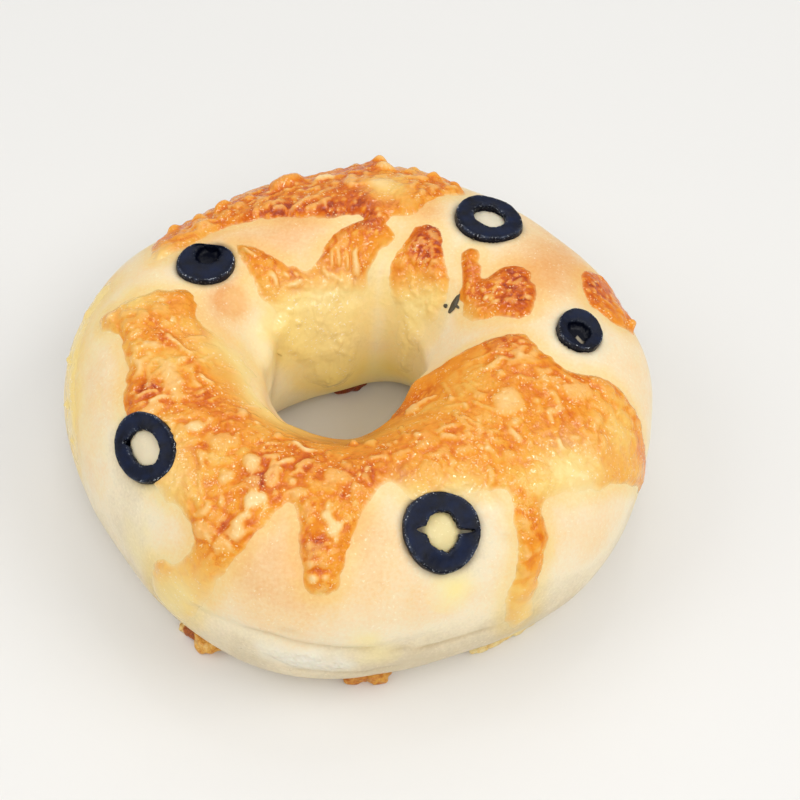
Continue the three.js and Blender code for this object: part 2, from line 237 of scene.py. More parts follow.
# The olives' beds: the dough is pressed down under each slice and swells up a little in its pit hole.
# A slice has its place, its size and its pit hole's, along and across, and notches in the hole: where
# round it, depth and width. A cup is closed underneath. A bite is flat on one side, and a shifted pit
# hole lies off the middle.
bed_depth = 1.5
bed_edge = (0.88, 0.97)
pit_edge = (1.05, 1.3)
slices = {
    "olive_front": {
        "at": (290, 57.8), "size": (13.4, 14), "hole": (5.8, 6.8), "swell": 0.5,
        "notches": [(346, 3, 5), (161, 1.5, 8), (266, 0.5, 9), (50, 0.4, 20)],
    },
    "olive_left": {
        "at": (213.6, 58.2), "size": (14.6, 11.2), "hole": (7.9, 5.5), "swell": 0.3,
        "notches": [(215, 1, 9), (222, 0.5, 4)],
    },
    "olive_upper_left": {
        "at": (146.8, 93), "size": (11.4, 10.2), "hole": (5, 4.4), "cup": True, "bite": (213, 0.36),
        "shift": (-1.5, -1.1),
    },
    "olive_upper_right": {
        "at": (48.3, 80), "size": (13.2, 12.4), "hole": (6.6, 6), "swell": 0.3,
    },
    "olive_right": {
        "at": (1.6, 74), "size": (9.5, 8.5), "hole": (4.4, 4.4), "cup": True, "roughness": 3,
        "notches": [(190, 0.9, 18), (60, 0.3, 20)],
    },
}


def place_frame(place, lift=0):
    """The point at a place on the bread and its own axes: along, across and out of the bread."""
    around, over = [np.array([angle]) for angle in place]
    return bread_points(around, over, lift)[0], *[axis[0] for axis in directions(around, over)]


def slice_share(points, part, size):
    """How far out of a slice's middle points lie: 1 on an ellipse of that size."""
    centre, along, across, out = place_frame(part["at"])
    apart = points - centre
    share = np.hypot(apart @ along / (size[0] / 2), apart @ across / (size[1] / 2))
    return np.where(np.linalg.norm(apart, axis=1) > part["size"][0], 99.0, share)


def bed_height(points):
    """How far the dough is pressed down under the slices, or swells up in their pit holes."""
    height = np.zeros(len(points))
    for part in slices.values():
        outside = slice_share(points, part, part["size"])
        under = 1 - smooth(outside, *bed_edge)
        if not part.get("cup"):
            inside = slice_share(points, part, part["hole"])
            open_pit = 1 - smooth(inside, *pit_edge)
            height += open_pit * (part["swell"] * np.clip(1 - inside**2, 0, 1))
            under = under * (1 - open_pit)
        height -= bed_depth * under
    return height


# The crust is tan, torn or stained yellow by cheese in spots: around, over, radius and amount of each. It
# is torn and white low on the near side, where the dough stuck to the tray. Tan also climbs with height.
tan_at_foot = 0.1
tan_with_height = 0.4
tan_climb = (7, 30)
tan_in_hole = 0.1
hole_climb = (125, 165)
least_tan_in_hole = 0.34
least_climb = (115, 150)
hole_wall_end = 250
tan_underneath = 0.55
underside = (185, 355)
base_height = 1.5
yellow_strength = 0.75
torn_spots = [(254, -1, 2.6, 0.8), (259, -1.5, 3.4, 1), (263.5, -3, 3.4, 1), (268, -8, 3, 0.8)]
tan_spots = [
    (155, 119, 3.6, 1), (64.5, 91.5, 5, 0.3), (120, 100, 9, 0.24), (136, 84, 7, 0.15), (107, 98, 7, 0.2),
    (30, 72, 12, 0.34), (20, 80, 8, 0.2), (255, 40, 10, 0.22), (274, 62, 7, 0.2), (282, 40, 10, 0.1),
    (323, 35, 7, -0.2), (32, 118, 9, 0.05), (5, 112, 9, 0.15), (170, 110, 8, 0.22), (169, 130, 6, 0.15),
    (320, 20, 8, 0.1), (205, 100, 6, 0.2), (226, 20, 10, -0.1), (215, 40, 12, -0.2), (200, 5, 20, 0.06),
    (255, 3, 9, -0.08), (285, -3, 9, -0.06), (290, 50, 8, -0.35), (48, 80, 8, -0.4), (2, 74, 7, -0.3),
    (80, 150, 12, -0.3), (175, 130, 8, -0.1), (215, 57, 8, -0.2), (147, 93, 7, -0.2), (30, 150, 12, -0.2),
    (165, 150, 12, -0.25),
]
yellow_spots = [
    (290, 27, 3.2, 0.9), (272.5, 8, 3, 0.5), (275, -2, 3, 0.4), (226, 10, 7, 0.3), (200, 20, 8, 0.15),
    (188, 26, 6, 0.45), (178, 34, 6, 0.4), (165, 60, 8, 0.3), (150, 172, 9, 0.3), (308, 30, 3, 0.25),
    (70, 150, 7, 0.5), (150, 150, 8, 0.5), (105, 198, 9, 0.6), (85, 202, 9, 0.6), (52, 200, 7, 0.5),
]


def new_piece(name, bm, points, fields, paint):
    """Puts points in mm and named values on a bmesh's vertices and links it as a piece of the bagel."""
    mesh = bpy.data.meshes.new(name)
    bm.to_mesh(mesh)
    bm.free()
    placed = (points + ring_shift) * mm
    mesh.vertices.foreach_set("co", placed.astype(np.float32).ravel())
    for field, values in fields.items():
        attribute = mesh.attributes.new(field, "FLOAT", "POINT")
        attribute.data.foreach_set("value", np.asarray(values, np.float32))
    mesh.shade_smooth()
    mesh.update()
    piece = bpy.data.objects.new(name, mesh)
    scene.collection.objects.link(piece)
    piece.data.materials.append(paint.material)
    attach(piece, "root")
    return piece


def spun_ring(turns, sides):
    """A closed ring spun from a circle, and the angle of each vertex round the ring and its section."""
    bm = bmesh.new()
    upright = Matrix.Translation((1, 0, 0)) @ Matrix.Rotation(math.pi / 2, 4, "X")
    bmesh.ops.create_circle(bm, segments=sides, radius=0.5, matrix=upright)
    bmesh.ops.spin(
        bm, geom=bm.verts[:] + bm.edges[:], cent=(0, 0, 0), axis=(0, 0, 1), angle=2 * math.pi,
        steps=turns, use_merge=True,
    )
    bmesh.ops.remove_doubles(bm, verts=bm.verts, dist=1e-5)
    bmesh.ops.recalc_face_normals(bm, faces=bm.faces)
    spots = np.array([v.co for v in bm.verts])
    around = np.degrees(np.arctan2(spots[:, 1], spots[:, 0])) % 360
    section = np.degrees(np.arctan2(spots[:, 2], np.hypot(spots[:, 0], spots[:, 1]) - 1)) % 360
    return bm, around, section


class Value:
    """A number inside a material. Arithmetic on it adds Math nodes."""

    def __init__(self, paint, socket):
        self.paint = paint
        self.socket = socket

    def math(self, operation, *values, clamp=False):
        return self.paint.node("Math", {"operation": operation, "use_clamp": clamp}, dict(enumerate(values)))

    def __add__(self, other):
        return self.math("ADD", self, other)

    def __sub__(self, other):
        return self.math("SUBTRACT", self, other)

    def __rsub__(self, other):
        return self.math("SUBTRACT", other, self)

    def __mul__(self, other):
        return self.math("MULTIPLY", self, other)

    def clamped(self):
        return self.math("ADD", self, 0, clamp=True)

    __radd__ = __add__
    __rmul__ = __mul__


class Paint:
    """A material in the making. One method adds any node and gives back its output."""

    def __init__(self, name):
        self.material = bpy.data.materials.new(name)
        self.material.use_nodes = True
        self.tree = self.material.node_tree
        self.tree.nodes.clear()
        self.place = self.node("TexCoord", output="Object")

    def node(self, kind, settings=None, inputs=None, output=0):
        node = self.tree.nodes.new("ShaderNode" + kind)
        for key, setting in (settings or {}).items():
            if key == "stops":
                first, *middle, last = setting
                elements = node.color_ramp.elements
                elements[0].position, elements[0].color = first
                elements[-1].position, elements[-1].color = last
                for position, colour in middle:
                    elements.new(position).color = colour
            else:
                setattr(node, key, setting)
        for key, value in (inputs or {}).items():
            if isinstance(value, Value):
                self.tree.links.new(value.socket, node.inputs[key])
            else:
                node.inputs[key].default_value = value
        return Value(self, node.outputs[output])

    def field(self, name):
        return self.node("Attribute", {"attribute_name": name}, output="Fac")

    def speckle(self, size, detail=2, roughness=0.55):
        """Cloudy noise in the object's own space, its swells about size mm apart."""
        inputs = {"Vector": self.place, "Scale": 1 / (size * mm), "Detail": detail, "Roughness": roughness}
        return self.node("TexNoise", {}, inputs, output="Fac")

    def swirl(self, amount, size):
        """The object's own place, pushed about by amount mm in swells about size mm apart."""
        inputs = {"Vector": self.place, "Scale": 1 / (size * mm), "Detail": 2}
        cloud = self.node("TexNoise", {}, inputs, output="Color")
        push = {0: cloud, 1: [amount * mm] * 3, 2: self.place}
        return self.node("VectorMath", {"operation": "MULTIPLY_ADD"}, push, output="Vector")

    def cells(self, place, size):
        """Uneven cells about size mm across, laid out on a place: how far from a cell's middle it is."""
        inputs = {"Vector": place, "Scale": 1 / (size * mm)}
        return self.node("TexVoronoi", {"feature": "F1"}, inputs, output="Distance")

    def rise(self, value, low, high):
        """0 below low, 1 above high, and a smooth climb between."""
        inputs = {"Value": value, "From Min": low, "From Max": high}
        return self.node("MapRange", {"interpolation_type": "SMOOTHSTEP"}, inputs, output="Result")

    def mix(self, share, first, second, blend="MIX"):
        """A share of the second colour over the first."""
        settings = {"data_type": "RGBA", "blend_type": blend, "clamp_factor": True}
        return self.node("Mix", settings, {0: share, 6: first, 7: second}, output=2)

    def ramp(self, share, stops):
        """A share from 0 to 1 as a colour, from stops of [share, colour]."""
        return self.node("ValToRGB", {"stops": stops}, {"Fac": share}, output="Color")

    def bump(self, height, distance, strength=1):
        """Fine relief from a height of 0 to 1, which stands for distance mm."""
        inputs = {"Height": height, "Distance": distance * mm, "Strength": strength}
        return self.node("Bump", {}, inputs, output="Normal")

    def finish(self, **sockets):
        """Puts the surface's shader together from values for its sockets."""
        named = {key.replace("_", " "): value for key, value in sockets.items()}
        shader = self.node("BsdfPrincipled", {}, named)
        end = self.tree.nodes.new("ShaderNodeOutputMaterial")
        self.tree.links.new(shader.socket, end.inputs["Surface"])


# The first colour is painted shade: the crust greys to it towards the foot and in the olives' pit holes.
shaded_foot_dough = srgb(213, 196, 162)
cream_dough = srgb(243, 227, 192)
golden_crust = srgb(243, 208, 155)
tan_crust = srgb(232, 166, 98)
torn_dough = srgb(238, 231, 210)
# The next colour is for pale specks: partly blisters, partly painted glints.
blister_and_glint_cream = srgb(254, 240, 208)
cheese_stain = srgb(250, 228, 138)
oiled_dough = srgb(255, 245, 212)
# The next colour darkens a ring round each olive: partly olive juice soaked into the dough, partly painted
# shade where slice and dough meet.
olive_stain_and_shade = srgb(120, 112, 108)
fold_shade = srgb(208, 192, 160)


def crust_colour(paint):
    """Colour of the crust from its fields, with fine mottling, blister specks that double as painted glints,
    and painted shade at the foot, in the folds and round the olives.
    """
    mottle = (paint.speckle(5, 2) - 0.5) * 0.22 + (paint.speckle(0.6, 2) - 0.5) * 0.3
    baked = (paint.field("tan") + mottle).clamped()
    stops = [(0.02, shaded_foot_dough), (0.34, cream_dough), (0.62, golden_crust), (1, tan_crust)]
    colour = paint.ramp(baked, stops)
    # Pale pinhead blisters, which also stand in as painted glints on the crust.
    blister_and_glint_specks = paint.rise(paint.speckle(0.5, 1), 0.62, 0.74) * paint.rise(paint.speckle(4, 1), 0.4, 0.65)
    colour = paint.mix(blister_and_glint_specks * 0.6, colour, blister_and_glint_cream)
    colour = paint.mix(paint.field("yellow"), colour, cheese_stain)
    colour = paint.mix(paint.field("oil"), colour, oiled_dough, "MULTIPLY")
    colour = paint.mix(paint.field("torn"), colour, torn_dough)
    # Last, painted shade: along the narrow folds, and round the olives, where it also stands for olive juice
    # stain.
    colour = paint.mix(paint.field("fold"), colour, fold_shade, "MULTIPLY")
    return paint.mix(paint.field("stain"), colour, olive_stain_and_shade, "MULTIPLY")


def bread_paint():
    paint = Paint("baked crust")
    leather = paint.speckle(1.8, 1)
    wrinkles = paint.cells(paint.swirl(1.5, 1.8), 1.5)
    flakes = paint.cells(paint.swirl(1, 1.2), 1.1) * paint.rise(paint.field("torn"), 0.5, 0.8)
    height = leather * 0.6 + wrinkles * 0.22 + flakes * 2.6
    paint.finish(
        Base_Color=crust_colour(paint),
        Roughness=(0.4 + paint.field("torn") * 0.3 + (leather - 0.5) * 0.4).clamped(),
        Normal=paint.bump(height, 0.34, 0.55),
        Subsurface_Weight=0.15,
        Subsurface_Radius=(1.0, 0.55, 0.25),
        Subsurface_Scale=1.6 * mm,
        Specular_IOR_Level=0.3,
    )
    return paint


# The ring's own centre lies off the frame's origin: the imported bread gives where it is
cad_turns, cad_sides = 68, 28
cad_around = np.repeat(np.arange(cad_turns) * 360 / cad_turns, cad_sides)
cad_over = np.tile(np.arange(cad_sides) * 360 / cad_sides, cad_turns)
cad_ring = bread_points(cad_around, cad_over)
packed_low, packed_high = [np.array(corner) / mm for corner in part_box("bread")]
ring_shift = (packed_low + packed_high) / 2 - (cad_ring.min(0) + cad_ring.max(0)) / 2
ring_shift[2] = 0


def crust_swell(points):
    """How high the crust's own fine swells stand at points."""
    return sum(height * noise(points, size, seed) for height, size, seed in crust_swells)


def fold_depth(points):
    """How deep the narrow folds are at each point: they run out softly at both ends."""
    depth = np.zeros(len(points))
    for line, height, width in crust_folds:
        share = ridge_height(points, line, height, width)
        for end in line_points(line)[[0, -1]]:
            share = share * smooth(np.linalg.norm(points - end, axis=1), 0, fold_run_out)
        depth += share
    return depth


def crust_fields(points, around, over):
    """The crust's values at points: how tan, yellow and torn it is, how stained and shaded round the olives,
    and its painted shade in the folds.
    """
    height = points[:, 2]
    in_hole = over < hole_wall_end
    tan = tan_at_foot + tan_with_height * smooth(height, *tan_climb)
    tan = tan + 0.1 * noise(points, 11, 3) + 0.05 * noise(points, 4, 4)
    tan = tan + tan_in_hole * smooth(over, *hole_climb) * in_hole
    tan = tan + spots_field(points, tan_spots)
    tan = np.maximum(tan, least_tan_in_hole * smooth(over, *least_climb) * in_hole)
    underneath = (over > underside[0]) & (over < underside[1]) & (height < base_height)
    tan = np.where(underneath, tan_underneath + 0.2 * noise(points, 7, 5), tan)
    torn_near, yellow_near = [spots_field(points, spots) for spots in (torn_spots, yellow_spots)]
    torn = np.clip(torn_near + 0.35 * noise(points, 2.2, 6) - 0.25, 0, 1) * (torn_near > 0.15)
    yellow = np.clip(yellow_near + 0.2 * noise(points, 3, 7), 0, 1) * yellow_strength
    yellow = yellow * (yellow_near > 0.05)
    stain = np.zeros(len(points))
    for name, part in slices.items():
        in_pit = 1 - smooth(slice_share(points, part, part["hole"]), 0.9, 1.3)
        # Within a pit hole the tan falls to nothing, so the dough there takes the grey of painted shade.
        tan = tan * (1 - in_pit)
        if name == "olive_front":
            yellow = np.maximum(yellow, 0.45 * in_pit)
        else:
            torn = np.maximum(torn, 0.5 * in_pit)
        # A ring round each slice's rim: olive juice stain and painted shade where slice meets dough.
        rim = slice_share(points, part, part["size"])
        ring = np.exp(-(((rim - 0.98) / 0.13) ** 2))
        stain = np.maximum(stain, ring * (0.55 + 0.45 * noise(points, 2.5, 8)))
    fields = {"tan": tan, "torn": torn, "yellow": yellow, "stain": stain, "fold": -1.4 * fold_depth(points)}
    return {key: np.clip(values, 0, 1) for key, values in fields.items()}


bm, bread_around, section = spun_ring(bread_turns, bread_sides)
bread_over = section + finer_on_top * (np.cos(np.radians(section)) - 1)
coarse = bread_points(bread_around, bread_over)
fields = crust_fields(coarse, bread_around, bread_over)
lift = crust_swell(coarse) + 0.02 * noise(coarse, 1.9, 12) + fold_depth(coarse)
lift = lift + fields["torn"] * (0.3 * np.abs(noise(coarse, 1.6, 13)) + 0.25 * noise(coarse, 3, 14))
lift = lift * smooth(coarse[:, 2], 0.2, 3) + bed_height(coarse)
bread_mesh_points = coarse + directions(bread_around, bread_over)[2] * lift[:, None]
bread_mesh_points[:, 2] = np.maximum(bread_mesh_points[:, 2], 0)
bread = new_piece("bread_crust", bm, bread_mesh_points, fields, bread_paint())
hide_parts("bread")


# Olive slices. Rings and cup-shaped ends of pitted black olives, 2.6 mm thick, laid on the dough and
# pressed halfway in before baking, which dried their cut faces and drew their skin up to a fine rim.
slice_thickness = 2.6
slice_bend = 0.7
olive_turns = 180
ring_sides = 52
cup_rows = 72

# A profile point is [place, height]: place is -1 on the axis, 0 at the pit hole and 1 at the skin, and
# height -1 underneath and 1 on top.
ring_profile = [
    (0.06, -1), (0.5, -1), (0.88, -0.98), (1, -0.6), (1.04, 0.1), (1.01, 0.8), (0.95, 1.04), (0.88, 0.98),
    (0.82, 0.9), (0.5, 0.84), (0.18, 0.92), (0.05, 0.9), (-0.02, 0.6), (0, -0.1), (0, -0.8),
]
cup_profile = [
    (-1, -1), (-0.3, -1), (0.4, -1), (0.86, -1), (1, -0.6), (1.04, 0), (1.02, 0.75), (0.95, 1.04),
    (0.87, 0.96), (0.8, 0.86), (0.45, 0.66), (0.12, 0.5), (0, 0.25), (-0.08, -0.3), (-0.3, -0.7),
    (-0.7, -0.78), (-1, -0.78),
]

# How uneven a slice is: its skin as a share of its size, and the torn edge of its pit hole and its cut
# face in mm
skin_bulge = 0.02
skin_grain = 0.008
skin_dents = 0.012
pit_tears = 0.14
pit_ripples = 0.08
face_dents = 0.16
face_grain = 0.05
bite_width = 42
olive_black = srgb(8, 13, 27)
olive_flesh = srgb(19, 32, 60)
olive_rim = srgb(70, 82, 106)
olive_speck = srgb(196, 202, 210)


def smooth_path(points, per_span, closed=True):
    """A smooth curve through points: centripetal Catmull-Rom, evenly sampled in each span."""
    points = np.array(points, float)
    if closed:
        before, after, last = np.roll(points, 1, 0), np.roll(points, -1, 0), np.roll(points, -2, 0)
    else:
        padded = np.concatenate([[2 * points[0] - points[1]], points, [2 * points[-1] - points[-2]]])
        before, points, after, last = padded[:-3], padded[1:-2], padded[2:-1], padded[3:]
    gaps = [
        np.maximum(np.sqrt(np.linalg.norm(b - a, axis=1)), 1e-4)[:, None]
        for a, b in ((before, points), (points, after), (after, last))
    ]
    slope_in = (points - before) / gaps[0] - (after - before) / (gaps[0] + gaps[1])
    slope_in = (slope_in + (after - points) / gaps[1]) * gaps[1]
    slope_out = (after - points) / gaps[1] - (last - points) / (gaps[1] + gaps[2])
    slope_out = (slope_out + (last - after) / gaps[2]) * gaps[1]
    share = np.arange(per_span)[None, :, None] / per_span
    start, end, slope_in, slope_out = [x[:, None, :] for x in (points, after, slope_in, slope_out)]
    path = start + slope_in * share
    path = path + (3 * (end - start) - 2 * slope_in - slope_out) * share**2
    path = path + (2 * (start - end) + slope_in + slope_out) * share**3
    return path.reshape(-1, points.shape[1])


def along_path(path, share, closed):
    """The path's points at a share of its length, 0 to 1."""
    if closed:
        path = np.concatenate([path, path[:1]])
    run = np.concatenate([[0], np.cumsum(np.linalg.norm(np.diff(path, axis=0), axis=1))])
    return [np.interp(share * run[-1], run, path[:, axis]) for axis in range(2)]


def peak(angle, centre, width):
    """1 at an angle of the turn, falling off to 0 on both sides of it."""
    apart = (angle - centre + 540) % 360 - 180
    return np.exp(-((apart / width) ** 2))


def olive_paint():
    paint = Paint("black olive")
    dust = paint.speckle(0.35, 3, 0.65)
    cloud = paint.speckle(2.6, 2)
    fine = paint.speckle(0.22, 2)
    face = (paint.field("face") * (0.25 + (cloud - 0.42) * 2.2)).clamped()
    colour = paint.mix(face, olive_black, olive_flesh)
    rim = paint.field("rim")
    colour = paint.mix(rim * paint.rise(cloud, 0.4, 0.6) * 0.5, colour, olive_rim)
    colour = paint.mix(rim * paint.rise(dust, 0.59, 0.66), colour, olive_speck)
    colour = paint.mix(paint.field("dough"), colour, cream_dough)
    paint.finish(
        Base_Color=colour,
        Roughness=(0.36 + (cloud - 0.5) * 0.3 + paint.field("face") * 0.14).clamped(),
        Normal=paint.bump(dust * 0.7 + fine * 0.4, 0.12, 0.6),
        Specular_IOR_Level=0.15,
    )
    return paint


def cut_olive(name, part, seed, paint):
    """Makes one slice: a ring from a spun circle, or a cup from a ball, both bent over the bread."""
    cup = part.get("cup", False)
    if cup:
        bm = bmesh.new()
        bmesh.ops.create_uvsphere(bm, u_segments=olive_turns, v_segments=cup_rows, radius=1)
        spots = np.array([v.co for v in bm.verts])
        angle = np.degrees(np.arctan2(spots[:, 1], spots[:, 0])) % 360
        share = np.degrees(np.arcsin(np.clip(spots[:, 2], -1, 1))) / 180 + 0.5
        path = smooth_path(cup_profile, 8, closed=False)
    else:
        bm, angle, section = spun_ring(olive_turns, ring_sides)
        share = (section + 225) % 360 / 360
        path = smooth_path(ring_profile, 8)
    place, height = along_path(path, share, not cup)
    turn = np.radians(angle)
    round_trip = np.stack([np.cos(turn) * 3, np.sin(turn) * 3, height], -1)
    skin = 1 + skin_bulge * np.sin(3 * turn + part["at"][0])
    skin = skin + skin_grain * noise(round_trip * [1, 1, 0.4], 0.3, seed + 1)
    skin = skin + skin_dents * part.get("roughness", 1) * noise(round_trip, 0.8, seed)
    if "bite" in part:
        skin = skin - part["bite"][1] * peak(angle, part["bite"][0], bite_width)
    torn = pit_tears * noise(round_trip, 0.55, seed + 2) + pit_ripples * noise(round_trip, 0.25, seed + 3)
    notches = part.get("notches", [])
    notch = torn + sum(depth * peak(angle, where, width) for where, depth, width in notches)
    hole = [size / 2 + notch for size in part["hole"]]
    edge = [size / 2 * skin for size in part["size"]]
    reach = [
        np.where(place < 0, inner * (1 + place), inner + (outer - inner) * place)
        for inner, outer in zip(hole, edge)
    ]
    shift = (1 - smooth(place, 0, 1))[None] * np.array(part.get("shift", (0, 0)))[:, None]
    x, y = reach[0] * np.cos(turn) + shift[0], reach[1] * np.sin(turn) + shift[1]
    across_radius = (bread_height - waist_height) * 0.95
    drop = slice_bend * (y * y / (2 * across_radius) + x * x / (2 * bread_radius))
    uneven = np.stack([x, y, height * 0], -1)
    top = smooth(height, 0.2, 0.9)
    lift = height * slice_thickness / 2 - drop + top * (face_dents * noise(uneven, 3, seed + 4))
    lift = lift + top * face_grain * noise(uneven, 0.7, seed + 5)
    centre, along, across, out = place_frame(part["at"])
    points = centre + x[:, None] * along + y[:, None] * across + lift[:, None] * out
    rim = np.maximum(np.exp(-(((place - 0.96) / 0.06) ** 2)), 0.5 * np.exp(-((place / 0.08) ** 2)))
    face = smooth(height, 0.3, 0.8) * smooth(place, -0.05, 0.1) * (1 - smooth(place, 0.84, 0.93))
    dough = np.zeros(len(points))
    if name == "olive_right":
        dough = 0.4 * smooth(-place, 0.02, 0.3) * smooth(peak(angle, 184, 45), 0.4, 0.8)
    fields = {"rim": rim * smooth(height, 0.1, 0.6), "face": face, "dough": dough}
    piece = new_piece(name + "_slice", bm, points, fields, paint)
    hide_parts(name)


olive_material = olive_paint()
for number, (name, part) in enumerate(slices.items()):
    cut_olive(name, part, 40 + 10 * number, olive_material)


# Cheese. A mix of grated cheeses, melted over the ring in the oven: a glossy film that ran down in
# drips, with shreds and curds standing in it, peach where they stay pale and red-brown in the creases.
under_bread = 0.35
oil_reach = 2.2
rim_width = 2.2
edge_wander = 0.5
edge_ripple = 0.3
lap_under_olive = 0.5
sheet_fields = ("toast", "pale", "crease", "hollow", "thin", "cover", "lively")
cell_around = 0.5
cell_over = 1.0
margin = (7, 12)

